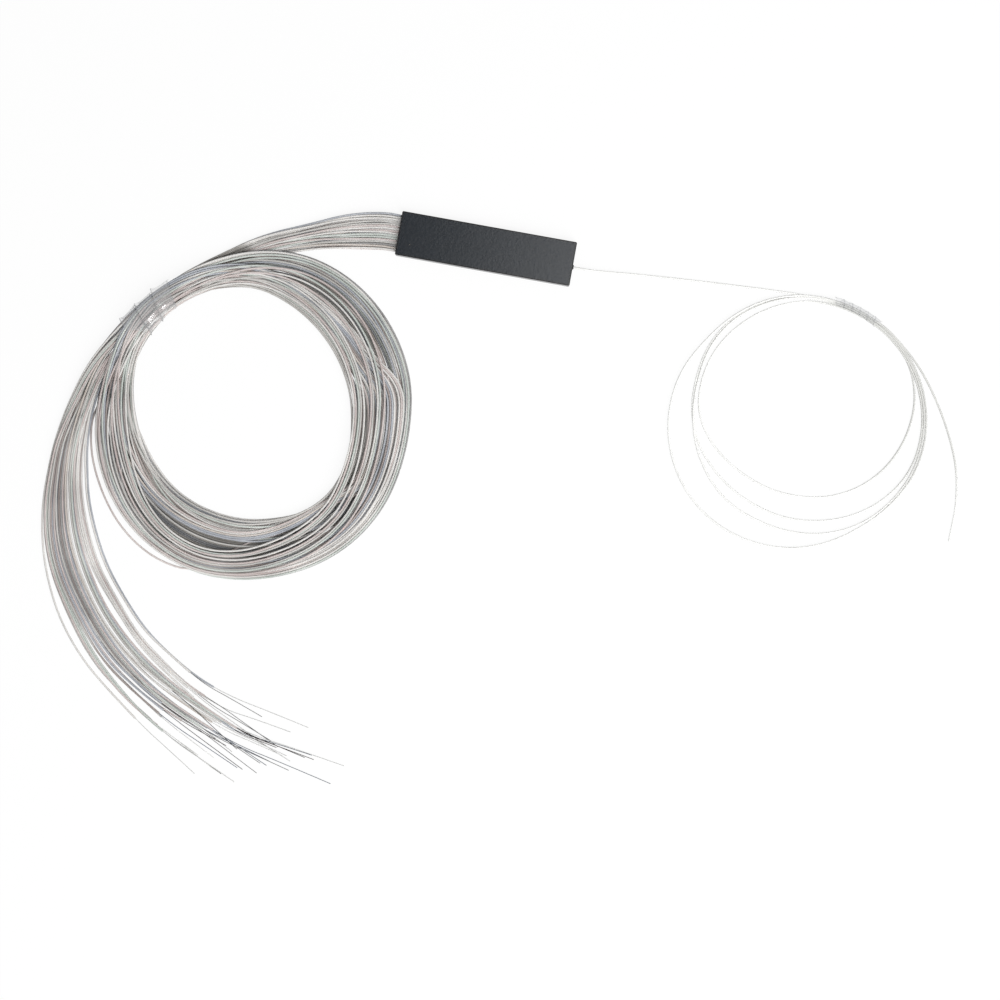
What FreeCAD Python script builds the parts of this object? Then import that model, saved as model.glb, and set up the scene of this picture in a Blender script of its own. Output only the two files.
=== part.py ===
"""A 1x32 fibre splitter module with its loose-tube pigtails, coiled and tied.

Row frame, in millimetres: the origin is under the middle of the housing, +X runs along the
housing towards the single input tube, +Y across it, +Z up. Both pigtail coils lie on z = 0.
"""
import FreeCAD, Part
import math
import os
import Sketcher
from FreeCAD import Rotation, Vector

UP = Vector(0, 0, 1)

# Driving dimensions, in millimetres and degrees. Each is one cell of the sheet.
SIZES = {
    # moulded housing
    "housing_length": 80.0,
    "housing_width": 20.0,
    "housing_height": 6.0,
    "side_wall": 0.9,
    "end_wall": 1.2,
    "floor_thickness": 0.8,
    "cover_thickness": 0.8,
    "corner_radius": 0.6,
    "edge_round": 0.4,
    "rail_depth": 0.8,
    "rail_thickness": 0.8,
    "saddle_height": 0.3,
    "saddle_length": 3.0,
    "saddle_pitch": 32.0,
    "post_thickness": 0.8,
    "post_height": 2.6,
    "fit_clearance": 0.05,
    # loose tubes and the comb that holds them
    "tube_diameter": 0.9,
    "tube_pitch": 1.12,
    "row_pitch": 1.1,
    "tubes_in_row": 16,
    "bore_clearance": 0.05,
    "comb_length": 6.5,
    "comb_headroom": 0.1,
    "straight_exit": 5.0,
    # grommet of the input tube
    "input_offset": -1.15,
    "grommet_length": 4.4,
    "grommet_width": 4.0,
    "grommet_height": 4.2,
    "nozzle_diameter": 2.0,
    "nozzle_reach": 0.4,
    # steel sleeve round the splitter
    "sleeve_length": 50.0,
    "sleeve_width": 7.0,
    "sleeve_height": 3.8,
    "sleeve_wall": 0.3,
    "sleeve_radius": 0.8,
    "sleeve_to_grommet": 2.3,
    "plug_length": 3.0,
    # planar chip with its glass blocks
    "chip_length": 17.0,
    "chip_width": 5.0,
    "slab_thickness": 1.0,
    "face_angle": 8.0,
    "capillary_length": 6.0,
    "capillary_width": 2.5,
    "array_length": 10.0,
    "array_lid_length": 6.0,
    "chip_to_plug": 3.0,
    "bare_diameter": 0.125,
    # coated fibres and ribbons
    "fibre_diameter": 0.25,
    "fibres_in_ribbon": 8,
    "ribbon_gap": 0.03,
    "ribbon_past_sleeve": 1.5,
    "slot_clearance": 0.1,
    # bundles and the film ties round them
    "input_exit": 10.0,
    "coil_bottom": 0.35,
    "output_coil_height": 3.4,
    "output_pile_height": 7.5,
    "input_coil_height": 1.1,
    "input_pile_height": 3.0,
    "bundle_bottom": 0.1,
    "lead_height": 2.2,
    "tail_height": 2.4,
    "tail_pile_height": 6.4,
    "output_shoulder": 3.2,
    "input_shoulder": 0.5,
    "film_clearance": 0.1,
    "film_thickness": 0.15,
    "output_laps": 3,
    "output_lap": 0.4,
    "output_lap_edge": 2.2,
    "input_laps": 5,
    "input_lap": 0.1,
    "input_lap_edge": 1.0,
}

COLUMN_OF_NAMES = "A"
COLUMN_OF_VALUES = "B"

# Output coil, seen from above: its centre, then angle, inner radius and outer radius.
OUTPUT_COIL_CENTRE = (-92.0, -93.0)
OUTPUT_COIL = [
    (0, 46.4, 71.6), (20, 46.4, 74.2), (40, 47.3, 75.9), (60, 49.8, 76.8), (80, 53.6, 77.3),
    (95, 57.2, 77.4), (108, 58.6, 74.8), (120, 58.9, 72.4), (131, 59.2, 71.6),
    (141.5, 58.8, 71.6), (152, 58.4, 71.0), (162, 57.5, 69.3), (175, 54.6, 69.2),
    (192, 50.8, 71.2), (212, 48.0, 71.9), (236, 47.0, 73.2), (262, 46.1, 74.6),
    (290, 47.4, 73.8), (315, 50.4, 74.3), (338, 48.2, 73.0),
]
# Where the turns pile up: direction from the centre, where the slope starts and where it ends.
OUTPUT_PILE = (141.5, 18.0, 54.0)
OUTPUT_TIE = (131.0, 153.0)
# Rounding of a bundle's upper corners: share of its shoulder, share of its height cut away.
ROUND_SHOULDER = [(0.0, 0.26), (0.12, 0.17), (0.36, 0.09), (0.7, 0.03), (1.0, 0.0)]
PLAIN_SHOULDER = [(0.0, 0.25), (1.0, 0.0)]

# Flat bundle from the comb to the coil: left side, then right side, in the way it runs.
LEAD_LEFT = [(-57.0, -10.2), (-70.0, -12.4), (-83.0, -16.0), (-92.0, -19.5)]
LEAD_RIGHT = [(-57.0, 6.6), (-70.0, 2.2), (-84.0, -4.0), (-98.0, -11.4), (-108.0, -17.6)]
LEAD_LANDING = -66.0  # x at which the bundle comes down on the table

# Loose bundle from the tie to the tube ends: outer side, then inner side.
TAIL_OUTER = [
    (-159.4, -61.6), (-163.9, -71.6), (-170.6, -90.4), (-175.0, -105.0), (-177.1, -119.5),
    (-177.6, -133.4), (-177.5, -147.2), (-175.0, -162.7), (-168.6, -179.2), (-158.0, -196.8),
    (-146.6, -212.8), (-133.4, -226.2), (-119.2, -237.4), (-106.0, -241.2), (-98.2, -235.6),
    (-82.0, -237.4), (-75.4, -233.2), (-71.8, -232.6),
]
TAIL_INNER = [
    (-156.5, -62.9), (-158.9, -73.4), (-162.0, -91.2), (-163.2, -104.0), (-162.9, -116.9),
    (-162.2, -130.7), (-159.2, -144.0), (-153.6, -158.9), (-146.1, -172.7), (-135.0, -186.6),
    (-124.0, -198.5), (-110.0, -206.7), (-94.0, -213.0), (-85.4, -216.0),
]
# Where the tail climbs to the tie: starting point, direction, slope's start and end.
TAIL_PILE = (-170.0, -98.0, 70.0, 0.0, 24.0)

# The coloured fibre in the end of each output tube, from the innermost tube to the outermost:
# x, y, z of the tube's end, then x, y, z of the fibre's tip.
FIBRES = [
    (-86.2, -216.9, 0.5, -40.9, -227.4, 0.2), (-97.7, -212.2, 1.4, -62.4, -226.3, 0.2),
    (-87.5, -222.8, 0.5, -48.5, -230.8, 0.2), (-89.5, -221.5, 1.1, -52.8, -238.4, 0.5),
    (-92.7, -221.1, 0.5, -56.5, -236.3, 0.2), (-94.3, -223.2, 0.8, -46.3, -243.8, 0.5),
    (-97.7, -219.2, 0.5, -56.7, -239.7, 0.2), (-72.5, -233.2, 2.0, -35.9, -241.2, 0.5),
    (-75.2, -232.3, 1.7, -40.1, -241.0, 0.5), (-73.6, -234.2, 1.4, -53.4, -238.7, 1.4),
    (-77.4, -231.5, 1.4, -21.9, -241.6, 0.2), (-79.8, -231.9, 1.4, -37.1, -239.4, 0.5),
    (-82.3, -232.0, 2.0, -48.2, -241.6, 1.4), (-84.2, -232.7, 0.5, -50.2, -241.8, 1.4),
    (-104.2, -221.6, 1.9, -70.9, -242.6, 2.2), (-81.7, -236.8, 0.5, -26.5, -250.6, 0.2),
    (-83.0, -235.9, 1.4, -56.5, -247.6, 0.5), (-85.7, -235.6, 0.8, -59.5, -247.1, 0.5),
    (-87.7, -236.0, 2.0, -46.2, -248.0, 0.5), (-90.3, -235.0, 0.8, -72.9, -244.3, 0.5),
    (-92.3, -234.2, 0.5, -55.7, -245.5, 0.2), (-94.9, -234.6, 0.5, -60.3, -251.8, 0.2),
    (-97.8, -234.3, 0.5, -76.0, -241.9, 1.4), (-108.0, -228.0, 0.5, -81.3, -239.8, 0.2),
    (-106.6, -231.0, 0.5, -66.9, -251.3, 0.2), (-108.4, -232.8, 0.5, -69.4, -251.0, 0.2),
    (-107.0, -234.4, 0.5, -80.5, -248.5, 0.2), (-105.3, -240.5, 1.4, -69.5, -257.5, 0.8),
    (-106.5, -240.0, 0.5, -76.1, -255.0, 0.2), (-108.4, -238.3, 0.8, -79.7, -253.4, 0.8),
    (-111.2, -236.7, 0.5, -87.9, -248.5, 0.2), (-118.7, -237.1, 0.5, -88.0, -257.0, 0.2),
]

# Input coil, seen from above: its centre, then angle, inner radius and outer radius.
INPUT_COIL_CENTRE = (152.5, -52.0)
INPUT_COIL = [
    (-256, 53.4, 57.3), (-236, 51.8, 56.7), (-218, 49.6, 56.0), (-202, 47.4, 57.0),
    (-184, 46.3, 58.3), (-167, 41.8, 59.2), (-148, 36.6, 59.5), (-122, 32.8, 59.5),
    (-94, 31.7, 58.4), (-68, 34.2, 56.9), (-46, 37.9, 55.9), (-26, 42.0, 56.8),
    (-7, 46.5, 57.8), (11, 50.7, 58.4), (34, 56.0, 58.8), (48, 56.0, 58.8),
    (60, 55.2, 58.4), (84, 54.0, 57.4),
]
INPUT_PILE = (70.0, 36.0, 51.0)
INPUT_TIE = (58.0, 82.0)

# Input tube beyond its straight exit, up to its coil: x, y, z.
INPUT_LEAD = [(80.0, 1.9, 0.5), (128.0, 5.2, 0.5), (160.0, 3.4, 1.9)]
# Free end of the input tube, from its coil to the plain cut: x, y, z.
INPUT_TAIL = [
    (184.0, -4.0, 1.6), (203.0, -18.0, 0.55), (222.0, -45.5, 0.5),
    (230.4, -71.0, 0.5), (229.8, -93.2, 0.5),
]

ARC_SHARE = 0.45      # share of the shorter run that an arc takes up
OUTLINE_CORNERS = 36  # straight sides of a coil's outline
FAR = 400.0           # reach of a cutting tool past everything it cuts
ROD_SIDES = 6         # flat sides of a fibre too thin to show its roundness
TUBE_SIDES = 16       # flat sides of each short output tube
TOLERANCE = 1e-6      # below this two lengths are the same
START_RADIUS = 1.0    # a circle's radius before its size is bound


# --------------------------------------------------------------------------- document helpers

def make_sheet(doc):
    """Put every driving dimension in a spreadsheet cell with an alias."""
    sheet = doc.addObject("Spreadsheet::Sheet", "Sizes")
    for row, (name, value) in enumerate(SIZES.items(), start=1):
        sheet.set(f"{COLUMN_OF_NAMES}{row}", name)
        sheet.set(f"{COLUMN_OF_VALUES}{row}", str(value))
        sheet.setAlias(f"{COLUMN_OF_VALUES}{row}", name)
    doc.recompute()
    return sheet


def bound(text):
    """Turn a formula in the sheet's names into an expression of the document."""
    words = []
    word = ""
    for letter in text + " ":
        if letter.isalnum() or letter == "_":
            word += letter
            continue
        words.append(f"Sizes.{word}" if word in SIZES else word)
        words.append(letter)
        word = ""
    return "".join(words).strip()


def measure(sheet, formula):
    """The value that a formula in the sheet's names has now."""
    return float(sheet.evalExpression(bound(formula)))


def new_body(doc, label):
    body = doc.addObject("PartDesign::Body", label)
    body.Label = label
    return body


def new_sketch(body, role, offset="0", name="Outline"):
    """A sketch on one of the body's own origin planes, moved along its normal."""
    sketch = body.newObject("Sketcher::SketchObject", name)
    plane = next(f for f in body.Origin.OriginFeatures if f.Role == role)
    sketch.AttachmentSupport = [(plane, "")]
    sketch.MapMode = "FlatFace"
    sketch.setExpression("AttachmentOffset.Base.z", bound(offset))
    return sketch


def pin_point(sketch, line, end, across, up):
    """Fix one end of a line at two formulas."""
    for kind, formula in (("DistanceX", across), ("DistanceY", up)):
        index = sketch.addConstraint(Sketcher.Constraint(kind, -1, 1, line, end, 1.0))
        sketch.setExpression(f"Constraints[{index}]", bound(formula))


def draw_polygon(sketch, corners):
    """A closed outline through corners, each given as two formulas."""
    count = len(corners)
    first = sketch.GeometryCount
    for index in range(count):
        angle = 2 * math.pi * index / count
        after = 2 * math.pi * (index + 1) / count
        start = Vector(math.cos(angle), math.sin(angle), 0)
        end = Vector(math.cos(after), math.sin(after), 0)
        sketch.addGeometry(Part.LineSegment(start, end), False)
    for index in range(count):
        following = first + (index + 1) % count
        sketch.addConstraint(Sketcher.Constraint("Coincident", first + index, 2, following, 1))
    for index, (across, up) in enumerate(corners):
        pin_point(sketch, first + index, 1, across, up)


def draw_rectangle(sketch, left, right, bottom, top):
    draw_polygon(sketch, [(left, bottom), (right, bottom), (right, top), (left, top)])


def draw_circle(sketch, across, up, diameter):
    circle = sketch.addGeometry(Part.Circle(Vector(0, 0, 0), UP, START_RADIUS), False)
    pin_point(sketch, circle, 3, across, up)
    index = sketch.addConstraint(Sketcher.Constraint("Diameter", circle, 2 * START_RADIUS))
    sketch.setExpression(f"Constraints[{index}]", bound(diameter))


def pad(body, sketch, length, reverse=False, middle=False):
    feature = body.newObject("PartDesign::Pad", "Pad")
    feature.Profile = sketch
    feature.setExpression("Length", bound(length))
    feature.Reversed = reverse
    feature.Midplane = middle
    body.Document.recompute()
    return feature


def pocket(body, sketch, length, reverse=False):
    """Cut the sketch into the body, and check that material went away."""
    before = body.Shape.Volume
    feature = body.newObject("PartDesign::Pocket", "Pocket")
    feature.Profile = sketch
    feature.setExpression("Length", bound(length))
    feature.Reversed = reverse
    body.Document.recompute()
    if not body.Shape.Volume < before:
        raise RuntimeError(f"{body.Label}: a pocket cut nothing")
    return feature


def edges_along(shape, axis):
    """Names of the straight edges parallel to an axis."""
    names = []
    for index, edge in enumerate(shape.Edges, start=1):
        if edge.Curve.TypeId != "Part::GeomLine":
            continue
        if edge.tangentAt(edge.FirstParameter).cross(axis).Length < TOLERANCE:
            names.append(f"Edge{index}")
    return names


def edges_at_height(shape, height):
    """Names of the edges that lie wholly in a level plane."""
    names = []
    for index, edge in enumerate(shape.Edges, start=1):
        box = edge.BoundBox
        if max(abs(box.ZMin - height), abs(box.ZMax - height)) < TOLERANCE:
            names.append(f"Edge{index}")
    return names


def fillet(body, base, names, radius):
    feature = body.newObject("PartDesign::Fillet", "Fillet")
    feature.Base = (base, names)
    feature.setExpression("Radius", bound(radius))
    body.Document.recompute()
    return feature


def feature_from(doc, label, shape):
    feature = doc.addObject("Part::Feature", label)
    feature.Label = label
    feature.Shape = shape
    return feature


# --------------------------------------------------------------------------- shared places

BASE_TOP = "(housing_height - cover_thickness)"
INNER_HALF = "(housing_width / 2 - side_wall)"
AXIS_HEIGHT = "(floor_thickness + saddle_height + sleeve_height / 2)"
COMB_HEIGHT = "(housing_height - cover_thickness - floor_thickness - comb_headroom)"
COMB_AXIS = f"(floor_thickness + {COMB_HEIGHT} / 2)"
COMB_FACE = "(-housing_length / 2 + comb_length)"
GROMMET_RIGHT = "(housing_length / 2 - end_wall - fit_clearance)"
GROMMET_LEFT = f"({GROMMET_RIGHT} - grommet_length)"
SLEEVE_RIGHT = f"({GROMMET_LEFT} - sleeve_to_grommet)"
SLEEVE_LEFT = f"({SLEEVE_RIGHT} - sleeve_length)"
CAPILLARY_RIGHT = f"({SLEEVE_RIGHT} - plug_length - chip_to_plug)"
CHIP_RIGHT = f"({CAPILLARY_RIGHT} - capillary_length)"
CHIP_LEFT = f"({CHIP_RIGHT} - chip_length)"
ARRAY_LEFT = f"({CHIP_LEFT} - array_length)"
ARRAY_STEP = f"({CHIP_LEFT} - array_lid_length)"
SLAB_TOP = f"({AXIS_HEIGHT} + slab_thickness)"
SLAB_BOTTOM = f"({AXIS_HEIGHT} - slab_thickness)"
RIBBON_LIFT = "((fibre_diameter + ribbon_gap) / 2)"


# --------------------------------------------------------------------------- housing

def make_housing_base(doc):
    """Open tray: two long walls, one end wall with the nozzle's hole, saddles for the sleeve."""
    body = new_body(doc, "housing_base")
    outline = new_sketch(body, "XY_Plane")
    draw_rectangle(outline, "-housing_length / 2", "housing_length / 2",
                   "-housing_width / 2", "housing_width / 2")
    block = pad(body, outline, BASE_TOP)
    rounded = fillet(body, block, edges_along(block.Shape, UP), "corner_radius")
    fillet(body, rounded, edges_at_height(rounded.Shape, 0.0), "edge_round")

    hollow = new_sketch(body, "XY_Plane", "floor_thickness", "Hollow")
    draw_rectangle(hollow, "-housing_length / 2 - end_wall", "housing_length / 2 - end_wall",
                   f"-{INNER_HALF}", INNER_HALF)
    pocket(body, hollow, BASE_TOP, reverse=True)

    hole = new_sketch(body, "YZ_Plane", "housing_length / 2 - 2 * end_wall", "NozzleHole")
    draw_circle(hole, "input_offset", AXIS_HEIGHT, "nozzle_diameter + 2 * fit_clearance")
    pocket(body, hole, "3 * end_wall", reverse=True)

    saddles = new_sketch(body, "XY_Plane", "floor_thickness", "Saddles")
    posts = new_sketch(body, "XY_Plane", "floor_thickness", "Posts")
    post_near = "(sleeve_width / 2 + 2 * fit_clearance)"
    post_far = f"({post_near} + post_thickness)"
    for side in ("-1", "1"):
        middle = f"({SLEEVE_LEFT} + sleeve_length / 2 + ({side}) * saddle_pitch / 2)"
        left = f"{middle} - saddle_length / 2"
        right = f"{middle} + saddle_length / 2"
        draw_rectangle(saddles, left, right, f"input_offset - {post_near}",
                       f"input_offset + {post_near}")
        draw_rectangle(posts, left, right, f"input_offset - {post_far}",
                       f"input_offset - {post_near}")
        draw_rectangle(posts, left, right, f"input_offset + {post_near}",
                       f"input_offset + {post_far}")
    pad(body, saddles, "saddle_height")
    pad(body, posts, "post_height")
    return body


def make_housing_cover(doc):
    """Flat lid with a rounded rim and two rails that drop inside the long walls."""
    body = new_body(doc, "housing_cover")
    outline = new_sketch(body, "XY_Plane", BASE_TOP)
    draw_rectangle(outline, "-housing_length / 2", "housing_length / 2",
                   "-housing_width / 2", "housing_width / 2")
    plate = pad(body, outline, "cover_thickness")
    rounded = fillet(body, plate, edges_along(plate.Shape, UP), "corner_radius")
    top = body.Shape.BoundBox.ZMax
    fillet(body, rounded, edges_at_height(rounded.Shape, top), "edge_round")

    rails = new_sketch(body, "XY_Plane", BASE_TOP, "Rails")
    outer = f"({INNER_HALF} - fit_clearance)"
    inner = f"({outer} - rail_thickness)"
    left = f"{COMB_FACE} + rail_thickness"
    right = "housing_length / 2 - end_wall - rail_thickness"
    draw_rectangle(rails, left, right, f"-{outer}", f"-{inner}")
    draw_rectangle(rails, left, right, inner, outer)
    pad(body, rails, "rail_depth", reverse=True)
    return body


def make_output_comb(doc):
    """End block whose slots spread the 32 tubes, an upper and a lower one in each slot."""
    body = new_body(doc, "output_comb")
    face = new_sketch(body, "YZ_Plane", "-housing_length / 2")
    draw_rectangle(face, f"-({INNER_HALF} - fit_clearance)", f"{INNER_HALF} - fit_clearance",
                   "floor_thickness", f"floor_thickness + {COMB_HEIGHT}")
    pad(body, face, "comb_length")

    slot = new_sketch(body, "YZ_Plane", "-housing_length / 2", "Slot")
    half_width = "(tube_diameter + bore_clearance) / 2"
    half_height = f"(row_pitch / 2 + {half_width})"
    first_lane = "((tubes_in_row - 1) / 2 * tube_pitch)"
    draw_rectangle(slot, f"-{first_lane} - {half_width}", f"-{first_lane} + {half_width}",
                   f"{COMB_AXIS} - {half_height}", f"{COMB_AXIS} + {half_height}")
    first = pocket(body, slot, "comb_length", reverse=True)
    row = body.newObject("PartDesign::LinearPattern", "RowOfSlots")
    row.Originals = [first]
    row.Direction = (slot, ["H_Axis"])
    row.setExpression("Length", bound("(tubes_in_row - 1) * tube_pitch"))
    row.setExpression("Occurrences", bound("tubes_in_row"))
    body.Tip = row
    doc.recompute()
    return body


def make_input_grommet(doc):
    """Block with a round nozzle that fills the end wall's hole and grips the input tube."""
    body = new_body(doc, "input_grommet")
    block = new_sketch(body, "YZ_Plane", GROMMET_LEFT)
    draw_rectangle(block, "input_offset - grommet_width / 2", "input_offset + grommet_width / 2",
                   "floor_thickness", "floor_thickness + grommet_height")
    pad(body, block, "grommet_length")
    nozzle = new_sketch(body, "YZ_Plane", GROMMET_RIGHT, "Nozzle")
    draw_circle(nozzle, "input_offset", AXIS_HEIGHT, "nozzle_diameter")
    reach = "(end_wall + fit_clearance + nozzle_reach)"
    pad(body, nozzle, reach)
    bore = new_sketch(body, "YZ_Plane", GROMMET_LEFT, "Bore")
    draw_circle(bore, "input_offset", AXIS_HEIGHT, "tube_diameter + bore_clearance")
    pocket(body, bore, f"grommet_length + {reach}", reverse=True)
    return body


# --------------------------------------------------------------------------- splitter sleeve

def make_steel_sleeve(doc):
    """Drawn rectangular tube round the chip and its glass blocks."""
    body = new_body(doc, "steel_sleeve")
    outside = new_sketch(body, "YZ_Plane", SLEEVE_LEFT)
    draw_rectangle(outside, "input_offset - sleeve_width / 2", "input_offset + sleeve_width / 2",
                   f"{AXIS_HEIGHT} - sleeve_height / 2", f"{AXIS_HEIGHT} + sleeve_height / 2")
    block = pad(body, outside, "sleeve_length")
    fillet(body, block, edges_along(block.Shape, Vector(1, 0, 0)), "sleeve_radius")
    inside = new_sketch(body, "YZ_Plane", SLEEVE_LEFT, "Inside")
    half_width = "(sleeve_width / 2 - sleeve_wall)"
    half_height = "(sleeve_height / 2 - sleeve_wall)"
    draw_rectangle(inside, f"input_offset - {half_width}", f"input_offset + {half_width}",
                   f"{AXIS_HEIGHT} - {half_height}", f"{AXIS_HEIGHT} + {half_height}")
    pocket(body, inside, "sleeve_length", reverse=True)
    return body


def make_sleeve_plug(doc, label, left, hole_half_width, hole_half_height):
    """Soft stopper in one end of the sleeve, with the fibres' slot through it."""
    body = new_body(doc, label)
    outline = new_sketch(body, "YZ_Plane", left)
    half_width = "(sleeve_width / 2 - sleeve_wall - fit_clearance)"
    half_height = "(sleeve_height / 2 - sleeve_wall - fit_clearance)"
    draw_rectangle(outline, f"input_offset - {half_width}", f"input_offset + {half_width}",
                   f"{AXIS_HEIGHT} - {half_height}", f"{AXIS_HEIGHT} + {half_height}")
    pad(body, outline, "plug_length")
    slot = new_sketch(body, "YZ_Plane", left, "Slot")
    draw_rectangle(slot, f"input_offset - {hole_half_width}", f"input_offset + {hole_half_width}",
                   f"{AXIS_HEIGHT} - {hole_half_height}", f"{AXIS_HEIGHT} + {hole_half_height}")
    pocket(body, slot, "plug_length", reverse=True)
    return body


def make_sleeve_plugs(doc):
    fibre_hole = "(fibre_diameter / 2 + slot_clearance)"
    ribbon_half = "(fibres_in_ribbon * fibre_diameter + ribbon_gap / 2 + slot_clearance)"
    ribbon_high = f"({RIBBON_LIFT} + 2 * fibre_diameter)"
    return [
        make_sleeve_plug(doc, "sleeve_plug_input", f"{SLEEVE_RIGHT} - plug_length",
                         fibre_hole, fibre_hole),
        make_sleeve_plug(doc, "sleeve_plug_output", SLEEVE_LEFT, ribbon_half, ribbon_high),
    ]


def make_slab(doc, label, left, right, slanted_left, slanted_right, bottom, top, width):
    """Glass block whose polished ends lean by the face angle about the optical axis."""
    body = new_body(doc, label)
    outline = new_sketch(body, "XZ_Plane", "-input_offset")

    def corner(along, slanted, height):
        lean = f" + tan(face_angle) * ({height} - {AXIS_HEIGHT})" if slanted else ""
        return (f"{along}{lean}", height)

    draw_polygon(outline, [corner(left, slanted_left, bottom),
                           corner(right, slanted_right, bottom),
                           corner(right, slanted_right, top),
                           corner(left, slanted_left, top)])
    pad(body, outline, width, middle=True)
    return body


def make_chip_assembly(doc):
    """Chip and its cover glass between the input capillary and the output fibre array."""
    chip = make_slab(doc, "splitter_chip", CHIP_LEFT, CHIP_RIGHT, True, True,
                     SLAB_BOTTOM, AXIS_HEIGHT, "chip_width")
    glass = make_slab(doc, "chip_cover_glass", CHIP_LEFT, CHIP_RIGHT, True, True,
                      AXIS_HEIGHT, SLAB_TOP, "chip_width")
    capillary = make_slab(doc, "input_capillary", CHIP_RIGHT, CAPILLARY_RIGHT, True, False,
                          SLAB_BOTTOM, SLAB_TOP, "capillary_width")
    bore = new_sketch(capillary, "YZ_Plane", f"{CHIP_RIGHT} - slab_thickness", "Bore")
    draw_circle(bore, "input_offset", AXIS_HEIGHT, "bare_diameter + bore_clearance / 2")
    pocket(capillary, bore, "capillary_length + 2 * slab_thickness", reverse=True)

    lid = make_slab(doc, "output_array_lid", ARRAY_STEP, CHIP_LEFT, False, True,
                    AXIS_HEIGHT, SLAB_TOP, "chip_width")
    base = make_slab(doc, "output_array_base", ARRAY_LEFT, CHIP_LEFT, False, True,
                     SLAB_BOTTOM, AXIS_HEIGHT, "chip_width")
    shelf = new_sketch(base, "XZ_Plane", "-input_offset - chip_width", "Shelf")
    draw_rectangle(shelf, f"{ARRAY_LEFT} - slab_thickness", ARRAY_STEP,
                   f"{AXIS_HEIGHT} - {RIBBON_LIFT} - fibre_diameter / 2 - slot_clearance",
                   f"{AXIS_HEIGHT} + slab_thickness")
    pocket(base, shelf, "2 * chip_width", reverse=True)
    return [chip, glass, capillary, lid, base]


def make_silicone_bed(doc):
    """Soft bed between the sleeve's floor and the glass blocks."""
    body = new_body(doc, "silicone_bed")
    outline = new_sketch(body, "XY_Plane",
                         f"{AXIS_HEIGHT} - sleeve_height / 2 + sleeve_wall")
    draw_rectangle(outline, ARRAY_LEFT, CAPILLARY_RIGHT, "input_offset - capillary_width / 2",
                   "input_offset + capillary_width / 2")
    pad(body, outline, "sleeve_height / 2 - sleeve_wall - slab_thickness")
    return body


# --------------------------------------------------------------------------- fibres inside

def make_input_fibre(doc):
    """Bare glass in the capillary, then the coated fibre up to the input tube."""
    body = new_body(doc, "input_fibre")
    coated = new_sketch(body, "YZ_Plane", CAPILLARY_RIGHT)
    draw_circle(coated, "input_offset", AXIS_HEIGHT, "fibre_diameter")
    pad(body, coated, f"{GROMMET_LEFT} - {CAPILLARY_RIGHT}")
    bare = new_sketch(body, "YZ_Plane", CAPILLARY_RIGHT, "Bare")
    draw_circle(bare, "input_offset", AXIS_HEIGHT, "bare_diameter")
    pad(body, bare, "capillary_length - bare_diameter", reverse=True)
    return body


def ribbon_outline(strip_end, fan_end, start, lanes, width):
    """Strip of touching fibres that part at strip_end and run straight to their lanes."""
    count = len(lanes)
    half = count * width / 2
    middle = lanes[0][0]
    points = [Vector(start, middle + half, 0)]
    for index, (strip_middle, lane) in enumerate(lanes):
        upper = strip_middle + half - index * width
        points.append(Vector(strip_end, upper, 0))
        points.append(Vector(fan_end, lane + width / 2, 0))
        points.append(Vector(fan_end, lane - width / 2, 0))
    points.append(Vector(strip_end, middle - half, 0))
    points.append(Vector(start, middle - half, 0))
    return points


def make_output_ribbons(doc, sheet):
    """Four eight-fibre ribbons in two layers, from the array's shelf to the comb's slots."""
    start = measure(sheet, f"{ARRAY_STEP} - fit_clearance")
    strip_end = measure(sheet, f"{SLEEVE_LEFT} - ribbon_past_sleeve")
    fan_end = measure(sheet, f"{COMB_FACE} + fit_clearance")
    width = sheet.fibre_diameter
    in_ribbon = int(sheet.fibres_in_ribbon)
    last_lane = (sheet.tubes_in_row - 1) / 2
    axis = measure(sheet, AXIS_HEIGHT)
    comb_axis = measure(sheet, COMB_AXIS)
    ribbons = []
    for index in range(4):
        side = 1 if index % 2 == 0 else -1
        level = 1 if index < 2 else -1
        middle = sheet.input_offset + side * (in_ribbon * width + sheet.ribbon_gap) / 2
        first = 0 if side > 0 else in_ribbon
        lanes = [(middle, (last_lane - first - number) * sheet.tube_pitch)
                 for number in range(in_ribbon)]
        points = ribbon_outline(strip_end, fan_end, start, lanes, width)
        face = Part.Face(Part.makePolygon(points + points[:1]))
        shape = face.extrude(UP * width)
        near = axis + level * measure(sheet, RIBBON_LIFT)
        far = comb_axis + level * sheet.row_pitch / 2
        tilt = math.degrees(math.atan2(far - near, start - fan_end))
        shape.translate(Vector(-start, 0, -width / 2))
        shape.rotate(Vector(0, 0, 0), Vector(0, 1, 0), tilt)
        shape.translate(Vector(start, 0, near))
        ribbons.append(feature_from(doc, f"output_ribbon_{index + 1}", shape))
    return ribbons


# --------------------------------------------------------------------------- loose tubes

def make_output_tubes(doc):
    """Straight start of each output tube: through its slot and out of the comb."""
    tubes = []
    number = 0
    for level in ("1", "-1"):
        for lane in range(int(SIZES["tubes_in_row"])):
            number += 1
            label = f"output_tube_{number:02d}"
            tube = doc.addObject("Part::Prism", label)
            tube.Label = label
            tube.Polygon = TUBE_SIDES
            tube.Placement = FreeCAD.Placement(Vector(0, 0, 0), Rotation(Vector(0, 1, 0), -90))
            tube.setExpression("Circumradius", bound("tube_diameter / 2"))
            tube.setExpression("Height", bound("comb_length + straight_exit"))
            tube.setExpression("Placement.Base.x", bound(COMB_FACE))
            tube.setExpression("Placement.Base.y",
                               bound(f"((tubes_in_row - 1) / 2 - {lane}) * tube_pitch"))
            tube.setExpression("Placement.Base.z",
                               bound(f"{COMB_AXIS} + ({level}) * row_pitch / 2"))
            tubes.append(tube)
    return tubes


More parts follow.
